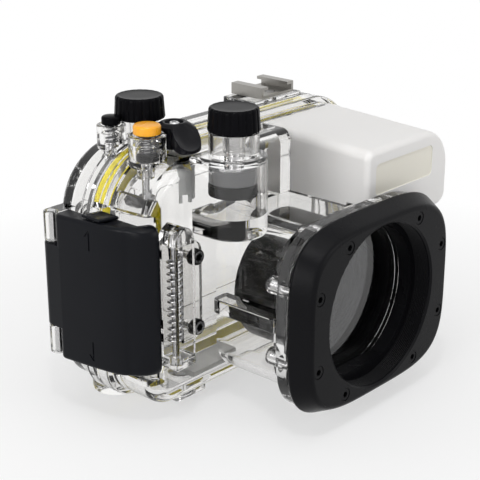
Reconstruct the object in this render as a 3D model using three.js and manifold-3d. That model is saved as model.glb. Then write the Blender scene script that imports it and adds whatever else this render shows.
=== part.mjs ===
// Underwater camera housing: a clear two-part case with a lens port, a latch, sealed controls and a diffuser.
// Millimetres, +Z up. The port looks along -Y and its thread centre is x = 0, z = 0 while the parts are made.
// The finished group is moved so that the origin is the middle of the footprint, on the surface it stands on.

import * as THREE from 'three';
import { mergeVertices } from 'three/addons/utils/BufferGeometryUtils.js';
import Module from 'manifold-3d';

const wasm = await Module();
wasm.setup();

// Fits and general values
const gap = 0.3;
const overrun = 1;
const fine = 36;
const cornerSteps = 4;
const round = 20;
const buttonSides = 12;
const finest = 0.01;
const small = 12;
const screwSides = 8;
const headSides = 8;
const latchSteps = 7;
const degree = Math.PI / 180;

// Case: outline seen from the front, depth, seam and walls
const caseLeft = -75;
const caseRight = 77;
const caseBottom = -39;
const caseTop = 60;
const topCorner = 27;
const bottomCorner = 14;
const frontFace = 56;
const frontDepth = 28;
const seam = frontFace + frontDepth;
const seamGap = 0.5;
const doorDepth = 21;
const backFace = seam + seamGap + doorDepth;
const wall = 4;
const edgeRound = 4.5;
const backRound = 3.5;
const rimDepth = 6;
const rimProud = 2.5;
const rimInset = 10;
const legHeight = 7;
const standHeight = caseBottom - legHeight;

// Main seal, lying in a groove of the seam face
const sealInset = 5.1;
const sealWidth = 3;
const sealDepth = 3.2;
const sealProud = 0.2;
const sealClearance = 0.3;

// Port: thread, ring, window and tube
const threadRadius = 33.5;
const ringSideRim = 11.8;
const ringTopRim = 3.3;
const ringFrontWide = threadRadius + ringSideRim;
const ringFrontHigh = threadRadius + ringTopRim;
const ringFlare = 3;
const ringBackWide = ringFrontWide + ringFlare;
const ringBackHigh = ringFrontHigh + ringFlare;
const ringSquareness = 4;
const ringDepth = 9.8;
const ringEdge = 1.6;
const threadDepth = 8.5;
const windowInset = 3.5;
const windowRadius = threadRadius - windowInset;
const windowFlat = 3;
const windowHalfHeight = windowRadius - windowFlat;
const glassSeatWidth = 1.8;
const glassRadius = windowRadius + glassSeatWidth;
const glassFront = 15;
const glassThickness = 4;
const gasketThickness = 1.8;
const gasketWidth = 2.2;
const flangeDepth = 6.1;
const flangeFront = ringDepth + gap;
const flangeBack = flangeFront + flangeDepth;
const flangeInset = 1.2;
const tubeSideWall = 4.7;
const tubeTopWall = 1.6;
const tubeBottomWall = 3.9;
const tubeWide = glassRadius + gap + tubeSideWall;
const tubeTop = glassRadius + gap + tubeTopWall;
const tubeBottom = -glassRadius - gap - tubeBottomWall;
const tubeCorner = 17;
const tubeWall = 3;
const shroudInset = 5.8;
const shroudRadius = glassRadius - shroudInset;
const shroudDrop = 2;
const shroudRoom = 3.6;
const shroudWall = 2;
const shroudShoulder = 3;
const shroudFlangeDepth = 1.8;
const shroudEndGap = 1;
const shroudFront = glassFront + glassThickness + gasketThickness + 3 * gap;
const glassPocketBack = shroudFront + shroudFlangeDepth + gap;
const tubeRoomFront = glassPocketBack + shroudShoulder;
const tubeRoomTop = shroudRadius - shroudDrop + shroudRoom;
const shroudBack = frontFace - shroudEndGap;
const portScrewRadius = 1.4;
const portScrewHeadRadius = 2.6;
const portScrewHeadDepth = 2;
const portScrewHeadSink = 0.6;
const portScrewReach = 7.3;
const portScrewTip = flangeBack + portScrewReach;
const portScrewBoss = 3.6;
const portScrewSideInset = 5.2;
const portScrewTopInset = 6.2;
const portScrewTopShare = 0.506;
const portScrewSideShare = 0.405;
const lugReach = 8.4;
const lugThickness = 6;
const lugLength = 33;
const lugFront = flangeBack + 6 * gap;
const lugBack = lugFront + lugLength;

// Hinge of the back door, on the right side
const hingeOut = 6.6;
const hingeX = caseRight + hingeOut;
const hingeY = seam + seamGap / 2;
const knuckleRadius = 3.6;
const hingePinRadius = 1.5;
const pinClearance = 0.3;
const doorKnuckleHalf = 12;
const knuckleLength = 14;
const knuckleGap = 0.5;
const hingeWebDepth = 4.2;

// Latch: cover, tongue, lugs, claw. Its places are measured from the case's left side, front face and seam.
const latchMiddle = 8.5;
const latchHigh = 61;
const latchTop = latchMiddle + latchHigh / 2;
const latchBottom = latchMiddle - latchHigh / 2;
const latchBackRun = 11;
const latchBack = seam + latchBackRun;
const latchOut = 12;
const latchOuter = caseLeft - latchOut;
const latchBendOut = 5.6;
const latchBendX = caseLeft - latchBendOut;
const latchBendRun = 5;
const latchBendY = frontFace + latchBendRun;
const latchClaw = 5;
const latchTipX = caseLeft + latchClaw;
const latchWall = 2.8;
const latchTipY = frontFace - latchWall - 2 * gap;
const latchEdge = 1.4;
const latchInnerOut = 3.4;
const latchInnerX = caseLeft - latchInnerOut;
const latchCoverIn = 0.8;
const latchCoverX = caseLeft + latchCoverIn;
const latchCoverGap = 0.8;
const latchCorner = 3;
const latchMargin = 3;
const latchPinOut = 8.4;
const latchPinX = caseLeft - latchPinOut;
const latchPinRun = 15.4;
const latchPinY = seam + latchPinRun;
const latchPinRadius = 1.5;
const latchBarrelRadius = 3.5;
const latchLugHeight = 13;
const tongueTop = latchTop - latchLugHeight;
const tongueBottom = latchBottom + latchLugHeight;
const latchLugGap = 0.5;
const reliefClearance = 0.5;
const lockLength = 12;
const lockWidth = 8;
const lockHeight = 1.4;
const lockLean = 2.2;
const lockStem = 3;
const lockTravel = 3;
const lockOut = 4.4;
const lockX = caseLeft - lockOut;
const lockRun = 8;
const lockY = seam - lockRun;
const lockToe = 1.6;
const lockToeReach = 2.7;

// Catch bracket with its rod, spring and screws, at the front left edge
const catchInset = 5.6;
const catchWide = 10.8;
const catchLeft = caseLeft + catchInset;
const catchRight = catchLeft + catchWide;
const catchDepth = 9.3;
const catchBack = frontFace - gap;
const catchFront = catchBack - catchDepth;
const catchTopInset = 3;
const catchBottomInset = 2.6;
const catchTop = latchTop - catchTopInset;
const catchBottom = latchBottom + catchBottomInset;
const catchFrame = 1.5;
const catchFootWide = 10;
const catchFootRight = catchRight + catchFootWide;
const catchFootDepth = 3.4;
const catchFootInset = 7;
const catchFootTop = catchTop - catchFootInset;
const catchFootBottom = catchBottom + catchFootInset;
const catchScrewX = catchRight + catchFootWide / 2;
const catchScrewInset = 6;
const catchScrewTop = catchFootTop - catchScrewInset;
const catchScrewBottom = catchFootBottom + catchScrewInset;
const catchScrewRadius = 1.5;
const catchScrewHead = 2.9;
const catchScrewHeadDepth = 2.8;
const hexRadius = 1.7;
const hexDepth = 1.6;
const catchRodRadius = 1.2;
const catchRodX = catchLeft + catchWide / 2 - catchFrame / 2;
const catchRodY = catchFront + catchDepth / 2;
const catchRodInset = 1.3;
const catchCorner = 5;
const catchSmallCorner = 1;
const catchRailHigh = 4.6;
const catchSpringRadius = 2.5;
const catchSpringWire = 0.9;
const catchSpringLength = 34;
const catchSpringCurls = 11;

// Knobs and their shafts
const knobTopRadius = 9.4;
const knobRadius = 10.2;
const knobHeight = 9.2;
const knobChamfer = 0.9;
const fluteCount = 20;
const fluteDepth = 0.45;
const shaftRadius = 2.3;
const knobSocket = 4.5;
const rollerHeight = 4.6;
const dialInset = 38;
const dialX = caseLeft + dialInset;
const dialAhead = 10;
const dialY = frontFace - dialAhead;
const dialRise = 20;
const dialTop = caseTop + dialRise;
const dialCollarRadius = 9.8;
const towerRadius = 13;
const towerRise = 1.4;
const towerTop = caseTop + towerRise;
const towerHigh = 31.4;
const towerBottom = towerTop - towerHigh;
const towerEdge = 1.2;
const towerFloor = 8;
const towerPocketFloor = towerBottom + towerFloor;
const towerWall = 2.9;
const dialHubRadius = 6.2;
const dialHubHeight = 7.6;
const dialHubTop = towerTop - towerWall - gap;
const dialHubBottom = dialHubTop - dialHubHeight;
const dialRollerRadius = 9.1;
const modeInset = 33;
const modeX = caseLeft + modeInset;
const modeRun = 8.2;
const modeY = seam + modeRun;
const modeRise = 18;
const modeTop = caseTop + modeRise;
const modeCollarRadius = 7.4;
const modeRollerRadius = 6.8;
const modeRollerGap = 0.8;
const modeRollerTop = caseTop - rimInset - modeRollerGap;

// Zoom lever, its shaft and the fork inside
const leverInset = 33;
const leverX = caseLeft + leverInset;
const leverRun = 11;
const leverY = seam - leverRun;
const leverRise = 10.4;
const leverTop = caseTop + leverRise;
const leverHubRadius = 6.4;
const leverHubHeight = 4.4;
const leverCollarRadius = 5.6;
const leverCollarTop = leverTop - leverHubHeight - gap;
const leverReach = 16.6;
const leverPadWidth = 8.4;
const leverPadDrop = 2.8;
const leverPadTop = leverTop - leverPadDrop;
const leverPadHeight = 5.6;
const leverPadEdge = 1.6;
const leverPadHalfDegrees = 33;
const leverPadTurnDegrees = -98;
const leverArmWidth = 8;
const leverArmDrop = 1.4;
const leverArmTop = leverTop - leverArmDrop;
const leverScrewRadius = 2.1;
const leverScrewHeight = 1.6;
const leverScrewStem = 1.1;
const leverScrewReach = 5;
const leverScrewWeb = 1;
const forkRadius = 8.9;
const forkWall = 1.2;
const forkDrop = 6;
const forkTop = caseTop - forkDrop;
const forkSkirt = 14;
const forkTeeth = 4;
const forkToothShare = 0.5;
const forkToothDepth = 3.4;
const forkStartDegrees = -135;
const forkSpanDegrees = 150;

// Push buttons: the collar, cap and stem of each are worked out from these
const capRise = 0.8;
const stemRadius = 1.5;
const stemFootRadius = 2.6;
const stemFootHeight = 1.4;
const guideWall = 2;
const collarWall = 1.7;
const pocketStep = 0.9;
const springWire = 0.6;
const sealRingHeight = 2.4;
const shutterInset = 18;
const shutterRun = 11.4;
const playbackInset = 18.6;
const playbackRun = 9.4;
const powerBeside = 14.8;
const powerRun = 9;

// The step at the case's right shoulder, where the diffuser lies
const stepLeft = 8.8;
const stepFloor = tubeRoomTop + tubeWall;
const stepRun = 12.8;
const stepFront = tubeRoomFront;
const stepBack = seam - stepRun;

// For each button: its floor and collar over the case's face, the cap's height over the collar, and its parts.
const shutter = {
  x: caseLeft + shutterInset,
  y: seam - shutterRun,
  base: caseTop,
  floorRise: -2,
  collar: 10.2,
  proud: 4.4,
  cap: 5.4,
  capHeight: 4,
  travel: 3,
  reach: 16,
  guide: 8,
  curls: 5,
};
const playback = {
  x: caseLeft + playbackInset,
  y: seam + playbackRun,
  base: caseTop,
  floorRise: 1,
  collar: 7.6,
  proud: 2.4,
  cap: 3.8,
  capHeight: 2.4,
  travel: 2.4,
  reach: 17,
  guide: 8,
  curls: 3,
};
const power = {
  x: stepLeft - powerBeside,
  y: seam - powerRun,
  base: caseTop,
  floorRise: -1,
  collar: 7.4,
  proud: 3.2,
  cap: 4.6,
  capHeight: 3.2,
  travel: 2.4,
  reach: 14,
  guide: 8,
  curls: 3,
};
const backButton = {
  base: backFace,
  floorRise: -3.1,
  collar: 6.2,
  proud: 2.4,
  cap: 3.8,
  capHeight: 2.6,
  travel: 2.2,
  reach: 9.8,
  guide: 4.5,
  curls: 2,
};
const backButtonShares = [[0.099, 0.687], [0.243, 0.697], [0.089, 0.182], [0.25, 0.192]];

// Back of the door: dial and window frame
const backDialInset = 25.5;
const backDialX = caseLeft + backDialInset;
const backDialZ = 4.6;
const backDialRadius = 10.6;
const backDialHeight = 5;
const backDialDish = 1.4;
const backDialGap = 0.5;
const backDialReach = 11;
const backDialGuide = 8;
const viewLeftInset = 53;
const viewRightInset = 19;
const viewBottomInset = 13;
const viewTopInset = 28;
const viewCorner = 4;
const viewRaise = 1.2;

// Diffuser over the flash corner: a hood with one low side that hangs beside the port tube
const diffuserLeft = stepLeft + 4 * gap;
const diffuserRightInset = 9;
const diffuserRight = caseRight - diffuserRightInset;
const diffuserGap = 0.8;
const diffuserFront = flangeBack + diffuserGap;
const diffuserBack = stepBack - 2 * gap;
const diffuserTopInset = 3;
const diffuserFrontTop = caseTop - diffuserTopInset;
const diffuserBackTop = caseTop;
const diffuserClearance = 0.6;
const diffuserFloor = stepFloor + diffuserClearance;
const diffuserHighFloor = ringFrontHigh - portScrewTopInset + portScrewBoss + gap;
const diffuserLow = 22.5;
const diffuserWall = 2.2;
const diffuserCorner = 4;
const diffuserShoulder = 17;
const diffuserLowCorner = 6;
const diffuserEdge = 2.4;
const diffuserPanel = 0.8;
const diffuserPanelLeft = 5.6;
const diffuserPanelRight = 12.2;
const diffuserPanelTop = 6;
const diffuserPanelLow = 3.4;

// Accessory shoe on the door's top
const shoeBlockInset = 25;
const shoeBlockWide = 31;
const shoeBlockRight = caseRight - shoeBlockInset;
const shoeBlockLeft = shoeBlockRight - shoeBlockWide;
const shoeWide = 21.4;
const shoeLeft = (shoeBlockLeft + shoeBlockRight - shoeWide) / 2;
const shoeRight = shoeLeft + shoeWide;
const shoeFrontRun = 2.6;
const shoeFront = seam + shoeFrontRun;
const shoeBackInset = 1.1;
const shoeBack = backFace - shoeBackInset;
const shoeRise = 4;
const shoeSeat = caseTop + shoeRise;
const shoeSheet = 1.3;
const shoeHeight = 5;
const shoeLip = 4.2;
const shoeScrewRadius = 1.1;
const shoeScrewHead = 2.1;
const shoeScrewHeadDepth = 0.9;
const shoeScrewLength = 4;

// Underside: tripod boss with insert, feet
const bossInset = 24;
const bossWide = 17.6;
const bossDeep = 17;
const bossRun = 2;
const bossLeft = caseLeft + bossInset;
const bossRight = bossLeft + bossWide;
const bossBack = seam - bossRun;
const bossFront = bossBack - bossDeep;
const bossEdge = 1.4;
const insertRadius = 5.4;
const insertBore = 3.2;
const insertDepth = 6.6;
const footRadius = 10;
const footInset = 17;
const farFootInset = 19;
const farFootRun = 18;
const backFootRun = 10;
const farFoot = [caseRight - farFootInset, seam - farFootRun];
const backFoot = [caseLeft + footInset, seam + backFootRun];
const farBackFoot = [caseRight - footInset, seam + backFootRun];

// Pads that hold the camera
const padHeight = 2.4;
const padDepth = 12;
const padLong = 28;
const padLeftInset = 29;
const padRightInset = 33;
const padRun = 2;
const padFront = frontFace + wall + padRun;
const padStarts = [caseLeft + padLeftInset, caseRight - padRightInset - padLong];

const materials = {
  clear: { color: 0xdfe0e0, roughness: 0.08, metalness: 0 },
  black: { color: 0x232427, roughness: 0.35, metalness: 0 },
  satin: { color: 0x2b2d31, roughness: 0.5, metalness: 0 },
  rubber: { color: 0x1c1c1e, roughness: 0.8, metalness: 0 },
  yellow: { color: 0xe8d33c, roughness: 0.5, metalness: 0 },
  orange: { color: 0xf6a93a, roughness: 0.35, metalness: 0 },
  steel: { color: 0xb9bbbd, roughness: 0.3, metalness: 1 },
  milky: { color: 0xe6e5e2, roughness: 0.45, metalness: 0 },
  grey: { color: 0x8d8f93, roughness: 0.5, metalness: 0 },
  glass: { color: 0x7c8284, roughness: 0.03, metalness: 0 },
};

const assembly = new THREE.Group();

// Solids and booleans

function solid(geometry) {
  const bare = geometry.clone();
  bare.deleteAttribute('normal');
  bare.deleteAttribute('uv');
  const merged = mergeVertices(bare, 1e-4);
  const corners = Array.from(merged.index.array);
  const kept = [];
  for (let i = 0; i < corners.length; i += 3) {
    const [a, b, c] = corners.slice(i, i + 3);
    if (a !== b && b !== c && c !== a) {
      kept.push(a, b, c);
    }
  }
  return new wasm.Manifold(new wasm.Mesh({
    numProp: 3,
    vertProperties: new Float32Array(merged.attributes.position.array),
    triVerts: new Uint32Array(kept),
  }));
}

function geometryOf(manifold) {
  const mesh = manifold.asOriginal().simplify(finest).getMesh();
  const geometry = new THREE.BufferGeometry();
  geometry.setAttribute('position', new THREE.BufferAttribute(mesh.vertProperties, 3));
  geometry.setIndex(new THREE.BufferAttribute(mesh.triVerts, 1));
  geometry.computeVertexNormals();
  return geometry;
}

function join(parts) {
  return parts.reduce((sum, part) => sum.add(part));
}

function cut(body, parts) {
  return parts.reduce((rest, part) => rest.subtract(part), body);
}

function addPart(name, shape, look, place = [0, 0, 0]) {
  const geometry = shape.isBufferGeometry ? shape : geometryOf(shape);
  const mesh = new THREE.Mesh(geometry, new THREE.MeshStandardMaterial(materials[look]));
  mesh.name = name;
  mesh.position.set(...place);
  assembly.add(mesh);
  return mesh;
}

function block(x0, x1, y0, y1, z0, z1) {
  const geometry = new THREE.BoxGeometry(x1 - x0, y1 - y0, z1 - z0);
  geometry.translate((x0 + x1) / 2, (y0 + y1) / 2, (z0 + z1) / 2);
  return solid(geometry);
}

// A turned body about +Z at (x, y): the profile is [radius, z] pairs, closed on the axis or on itself.
function turned(profile, x = 0, y = 0, sides = round) {
  const points = profile.map(([r, z]) => new THREE.Vector2(r, z));
  const geometry = new THREE.LatheGeometry(points, sides);
  geometry.rotateX(Math.PI / 2);
  geometry.translate(x, y, 0);
  return solid(geometry);
}

function post(x, y, radius, z0, z1, sides = round) {
  return turned([[0, z0], [radius, z0], [radius, z1], [0, z1]], x, y, sides);
}

function collar(x, y, inner, outer, z0, z1, sides = round) {
  return turned([[inner, z0], [outer, z0], [outer, z1], [inner, z1], [inner, z0]], x, y, sides);
}

// Turns a body made about +Z so that its axis points along +Y, at (x, z).
function alongY(body, x, z) {
  return body.rotate([-90, 0, 0]).translate([x, 0, z]);
}

function barY(x, z, radius, y0, y1, sides = round) {
  return alongY(post(0, 0, radius, y0, y1, sides), x, z);
}

function tubeY(x, z, inner, outer, y0, y1, sides = round) {
  return alongY(collar(0, 0, inner, outer, y0, y1, sides), x, z);
}

// Outlines

function roundedOutline(x0, x1, y0, y1, low, high = low) {
  const shape = new THREE.Shape();
  shape.moveTo(x0 + low, y0);
  shape.lineTo(x1 - low, y0);
  shape.absarc(x1 - low, y0 + low, low, -Math.PI / 2, 0);
  shape.lineTo(x1, y1 - high);
  shape.absarc(x1 - high, y1 - high, high, 0, Math.PI / 2);
  shape.lineTo(x0 + high, y1);
  shape.absarc(x0 + high, y1 - high, high, Math.PI / 2, Math.PI);
  shape.lineTo(x0, y0 + low);
  shape.absarc(x0 + low, y0 + low, low, Math.PI, Math.PI * 1.5);
  return shape;
}

function outline(points) {
  return new THREE.Shape(points.map(([x, y]) => new THREE.Vector2(x, y)));
}

function caseOutline(inset) {
  const low = Math.max(bottomCorner - inset, wall);
  const high = Math.max(topCorner - inset, wall);
  return roundedOutline(caseLeft + inset, caseRight - inset, caseBottom + inset, caseTop - inset, low, high);
}

// A straight or edge-rounded body between two heights of +Z.
function prismZ(shape, z0, z1, edge = 0, steps = 2) {
  const geometry = new THREE.ExtrudeGeometry(shape, {
    depth: z1 - z0 - 2 * edge,
    curveSegments: cornerSteps,
    bevelEnabled: edge > 0,
    bevelThickness: edge,
    bevelSize: edge,
    bevelOffset: -edge,
    bevelSegments: steps,
  });
  geometry.translate(0, 0, z0 + edge);
  return solid(geometry);
}

// The outline is drawn in x and z, and the body runs from y0 to y1.
function prismY(shape, y0, y1, edge = 0, steps = 2) {
  return prismZ(shape, -y1, -y0, edge, steps).rotate([90, 0, 0]);
}

// A closed skin over rings of points that go round the same way, with a fan about the middle of both end rings.
function skinned(rings) {
  const sides = rings[0].length;
  const last = rings.length - 1;
  const middle = (ring) => ring.reduce((sum, point) => sum.map((v, i) => v + point[i] / sides), [0, 0, 0]);
  const positions = [...rings.flat(2), ...middle(rings[0]), ...middle(rings[last])];
  const index = [];
  const base = rings.length * sides;
  for (let i = 0; i < sides; i += 1) {
    const next = (i + 1) % sides;
    index.push(base, next, i);
    index.push(base + 1, last * sides + i, last * sides + next);
    for (let k = 0; k < last; k += 1) {
      const a = k * sides + i;
      const b = k * sides + next;
      index.push(a, b, b + sides, a, b + sides, a + sides);
    }
  }
  const geometry = new THREE.BufferGeometry();
  geometry.setAttribute('position', new THREE.Float32BufferAttribute(positions, 3));
  geometry.setIndex(index);
  return solid(geometry);
}

// Sections of one closed outline, one after another along +Z: [z, size along x, size along y].
function lofted(unit, sections) {
  return skinned(sections.map(([z, wide, high]) => unit.map(([u, v]) => [wide * u, high * v, z])));
}

// A circle pressed towards a square, at unit size.
function squareOval(power = ringSquareness, sides = fine) {
  return Array.from({ length: sides }, (_, i) => {
    const angle = (i / sides) * 2 * Math.PI;
    const c = Math.cos(angle);
    const s = Math.sin(angle);
    const scale = (Math.abs(c) ** power + Math.abs(s) ** power) ** (-1 / power);
    return [c * scale, s * scale];
  });
}

// The same sections along +Y: [y, half width, half height].
function ovalY(sections) {
  const turnedOver = sections.map(([y, wide, high]) => [-y, wide, high]).reverse();
  return lofted(squareOval(), turnedOver).rotate([90, 0, 0]);
}

// Springs

function springPath(radius, wire, length, curls) {
  const steps = 8;
  const rise = length - 2 * wire;
  const points = [new THREE.Vector3(radius, 0, 0)];
  for (let i = 0; i <= curls * steps; i += 1) {
    const angle = (i / steps) * 2 * Math.PI;
    const z = wire + (rise * i) / (curls * steps);
    points.push(new THREE.Vector3(radius * Math.cos(angle), radius * Math.sin(angle), z));
  }
  const end = points[points.length - 1];
  points.push(new THREE.Vector3(end.x, end.y, length));
  return points;
}

// The least distance between turns of the wire, less its thickness.
function springGap(points, wire) {
  let least = Infinity;
  for (let i = 1; i < points.length - 1; i += 1) {
    for (let j = i + 5; j < points.length - 1; j += 1) {
      least = Math.min(least, points[i].distanceTo(points[j]) - wire);
    }
  }
  return least;
}

// One unbroken round wire with five sides, its two ends straight and square to their seats.
function spring(name, radius, wire, length, curls) {
  const points = springPath(radius, wire, length, curls);
  const sides = 5;
  const positions = [];
  const index = [];
  const up = new THREE.Vector3(0, 0, 1);
  points.forEach((point, i) => {
    const before = points[Math.max(i - 1, 0)];
    const after = points[Math.min(i + 1, points.length - 1)];
    const along = after.clone().sub(before).normalize();
    const outward = new THREE.Vector3(point.x, point.y, 0).normalize();
    if (i === 0 || i === points.length - 1) {
      along.copy(up);
    }
    const side = new THREE.Vector3().crossVectors(along, outward).normalize();
    const out = new THREE.Vector3().crossVectors(side, along).normalize();
    for (let k = 0; k < sides; k += 1) {
      const angle = (k / sides) * 2 * Math.PI;
      const offset = out.clone().multiplyScalar(Math.cos(angle) * wire / 2);
      offset.addScaledVector(side, Math.sin(angle) * wire / 2);
      positions.push(point.x + offset.x, point.y + offset.y, point.z + offset.z);
    }
  });
  const rings = points.length;
  const start = positions.length / 3;
  positions.push(points[0].x, points[0].y, points[0].z);
  positions.push(points[rings - 1].x, points[rings - 1].y, points[rings - 1].z);
  for (let k = 0; k < sides; k += 1) {
    const next = (k + 1) % sides;
    index.push(start, next, k);
    index.push(start + 1, (rings - 1) * sides + k, (rings - 1) * sides + next);
    for (let i = 0; i < rings - 1; i += 1) {
      const a = i * sides + k;
      const b = i * sides + next;
      index.push(a, b, a + sides, b, b + sides, a + sides);
    }
  }
  const geometry = new THREE.BufferGeometry();
  geometry.setAttribute('position', new THREE.Float32BufferAttribute(positions, 3));
  geometry.setIndex(index);
  console.log(`${name}: least gap between turns ${springGap(points, wire).toFixed(2)} mm`);
  return geometry;
}

// Case halves

function portScrewPlaces() {
  const topX = ringFrontWide * portScrewTopShare;
  const topZ = ringFrontHigh - portScrewTopInset;
  const sideX = ringFrontWide - portScrewSideInset;
  const sideZ = ringFrontHigh * portScrewSideShare;
  const quarter = [[topX, topZ], [sideX, sideZ]];
  return [[1, 1], [1, -1], [-1, -1], [-1, 1]].flatMap(([h, v]) => quarter.map(([x, z]) => [h * x, v * z]));
}

// The case's top is cut down here to make room for the diffuser.
function diffuserStep() {
  return block(stepLeft, 2 * caseRight, stepFront, stepBack, stepFloor, 2 * caseTop);
}

function portRoom() {
  const room = roundedOutline(-tubeWide + tubeWall, tubeWide - tubeWall, tubeBottom + tubeWall,
    tubeRoomTop, tubeCorner - tubeWall);
  return prismY(room, tubeRoomFront, frontFace + wall + overrun);
}

// The tube bonded to the case's front face. Its hollow has a seat for the glass and the shroud, then a shoulder.
function portTube() {
  const tube = roundedOutline(-tubeWide, tubeWide, tubeBottom, tubeTop, tubeCorner);
  const flangeWide = ringBackWide - flangeInset;
  const flangeHigh = ringBackHigh - flangeInset;
  const flange = ovalY([[flangeFront, flangeWide, flangeHigh], [flangeBack, flangeWide, flangeHigh]]);
  const half = lugThickness / 2;
  const lug = roundedOutline(-tubeWide - lugReach, -tubeWide + tubeWall / 2, lugFront, lugBack, half / 3, half);
  const bosses = portScrewPlaces().map(([x, z]) =>
    barY(x, z, portScrewBoss, flangeBack - overrun, portScrewTip + overrun, small));
  const holes = portScrewPlaces().map(([x, z]) =>
    barY(x, z, portScrewRadius + gap, flangeFront - overrun, portScrewTip + gap, screwSides));
  return cut(join([
    prismY(tube, flangeFront + flangeDepth / 2, frontFace - gap),
    flange,
    prismZ(lug, -half, half),
    ...bosses,
  ]), [
    diffuserStep(),
    portRoom(),
    barY(0, 0, glassRadius + gap, flangeFront - overrun, glassPocketBack, fine),
    barY(0, 0, shroudRadius + shroudDrop + gap, glassPocketBack - overrun, tubeRoomFront + overrun, fine),
    ...holes,
  ]);
}

// The upright round-fronted bulge under the front dial, and the room inside it.
function towerOutline(radius, back) {
  const shape = new THREE.Shape();
  shape.moveTo(dialX - radius, back);
  shape.lineTo(dialX - radius, dialY);
  shape.absarc(dialX, dialY, radius, Math.PI, 2 * Math.PI);
  shape.lineTo(dialX + radius, back);
  return shape;
}

// It runs on through the case's front wall, up to where the case's edge begins to turn over.
function towerRoom() {
  const room = towerOutline(towerRadius - towerWall, frontFace + wall + overrun);
  return prismZ(room, towerPocketFloor, caseTop - edgeRound);
}

// The tower bonded to the case's front face, with the bearing of the dial's shaft in its collar.
function dialTower() {
  const tube = roundedOutline(-tubeWide - gap, tubeWide + gap, tubeBottom - gap, tubeTop + gap, tubeCorner + gap);
  return cut(join([
    prismZ(towerOutline(towerRadius, frontFace - gap), towerBottom, towerTop, towerEdge),
    post(dialX, dialY, dialCollarRadius, towerTop - overrun, dialTop - knobHeight - gap),
  ]), [
    prismY(tube, flangeBack, frontFace),
    towerRoom(),
    post(dialX, dialY, dialHubRadius + 2 * gap, caseTop - edgeRound - overrun, towerTop - towerWall),
    post(dialX, dialY, shaftRadius + gap, towerTop - towerWall - overrun, dialTop + overrun, small),
  ]);
}

// The heights of a push button's parts over its own axis.
function levels(button) {
  const floor = button.base + button.floorRise;
  const rim = floor + button.collar;
  const top = rim + button.proud;
  const bottom = top - button.capHeight;
  const shoulder = bottom - button.travel - capRise;
  return { floor, rim, top, bottom, shoulder, guideEnd: floor - button.guide, foot: floor - button.reach };
}

// What a push button needs in the case: a clear collar outside and a guide inside, about +Z.
function buttonSeat(button) {
  const { floor, rim, guideEnd } = levels(button);
  return join([
    post(0, 0, button.cap + gap + collarWall, floor - guideWall, rim, buttonSides),
    post(0, 0, stemRadius + gap + guideWall, guideEnd, floor, small),
  ]);
}

function buttonPockets(button) {
  const { floor, rim, shoulder, guideEnd } = levels(button);
  return join([
    post(0, 0, button.cap + gap, shoulder, rim + overrun, buttonSides),
    post(0, 0, button.cap - pocketStep + gap, floor, shoulder + overrun, buttonSides),
    post(0, 0, stemRadius + gap, guideEnd - overrun, floor + overrun, small),
  ]);
}

function seatAt(button) {
  return buttonSeat(button).translate([button.x, button.y, 0]);
}

function pocketsAt(button) {
  return buttonPockets(button).translate([button.x, button.y, 0]);
}

function knuckle(low, high, front) {
  const webFront = front ? seam - hingeWebDepth : seam + seamGap;
  const webBack = front ? seam : seam + seamGap + hingeWebDepth;
  return join([
    post(hingeX, hingeY, knuckleRadius, low, high, buttonSides),
    block(caseRight - overrun, hingeX, webFront, webBack, low, high),
  ]);
}

// The case's side under the latch, cut back to the path that the claw's tip takes as the door swings.
function latchRelief() {
  const reach = hingeX - latchTipX;
  const radius = Math.hypot(reach, hingeY - latchTipY - latchWall) - reliefClearance;
  const start = latchTipY - hingeY;
  const steps = 10;
  const points = [];
  for (let i = 0; i <= steps; i += 1) {
    const y = start + ((seam + overrun - latchTipY) * i) / steps;
    points.push([hingeX - Math.sqrt(radius * radius - y * y), hingeY + y]);
  }
  points.push([caseLeft - rimProud - overrun, seam + overrun], [caseLeft - rimProud - overrun, latchTipY]);
  return prismZ(outline(points.reverse()), latchBottom - latchMargin, latchTop + latchMargin);
}

function frontShell() {
  const body = prismY(caseOutline(0), frontFace, seam + 2 * edgeRound, edgeRound);
  const rim = prismY(caseOutline(-rimProud), seam - rimDepth, seam);
  const behind = block(2 * caseLeft, 2 * caseRight, seam, backFace, 2 * caseBottom, 2 * caseTop);
  return join([cut(body, [behind]), rim]);
}

function frontRoom() {
  const bay = prismY(caseOutline(wall), frontFace + wall, seam - rimDepth);
  const mouth = prismY(caseOutline(rimInset), seam - rimDepth - overrun, seam + overrun);
  const beside = latchMargin + wall;
  const low = latchBottom - beside;
  const besideLatch = block(caseLeft, caseLeft + rimInset, frontFace, seam, low, latchTop + beside);
  const besideStep = block(stepLeft - wall, caseRight, frontFace, stepBack + wall, stepFloor - wall, caseTop);
  return join([cut(bay, [besideLatch, besideStep]), mouth]);
}

function sealGroove() {
  const outer = caseOutline(sealInset - sealClearance);
  const inner = caseOutline(sealInset + sealWidth + sealClearance);
  const floor = seam - sealDepth + sealProud - gap;
  return cut(prismY(outer, floor, seam + overrun), [prismY(inner, floor - overrun, seam + 2 * overrun)]);
}

function insertHole() {
  return post((bossLeft + bossRight) / 2, (bossFront + bossBack) / 2, insertRadius + gap,
    standHeight - overrun, standHeight + insertDepth + 2 * gap);
}

// The block bonded under the case round the tripod insert, with room for the case's rim.
function tripodBoss() {
  const shape = roundedOutline(bossLeft, bossRight, bossFront, bossBack, bossEdge);
  const rimFront = seam - rimDepth - gap;
  const rim = block(2 * caseLeft, 2 * caseRight, rimFront, seam, caseBottom - rimProud - gap, caseBottom);
  return cut(prismZ(shape, standHeight, caseBottom - gap), [insertHole(), rim]);
}

function foot([x, y]) {
  const top = caseBottom + overrun;
  return turned([[0, standHeight], [footRadius - bossEdge, standHeight], [footRadius, standHeight + bossEdge],
    [footRadius, top], [0, top]], x, y, small);
}

function hingeBore() {
  return post(hingeX, hingeY, hingePinRadius + pinClearance, caseBottom, caseTop, small);
}

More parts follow.
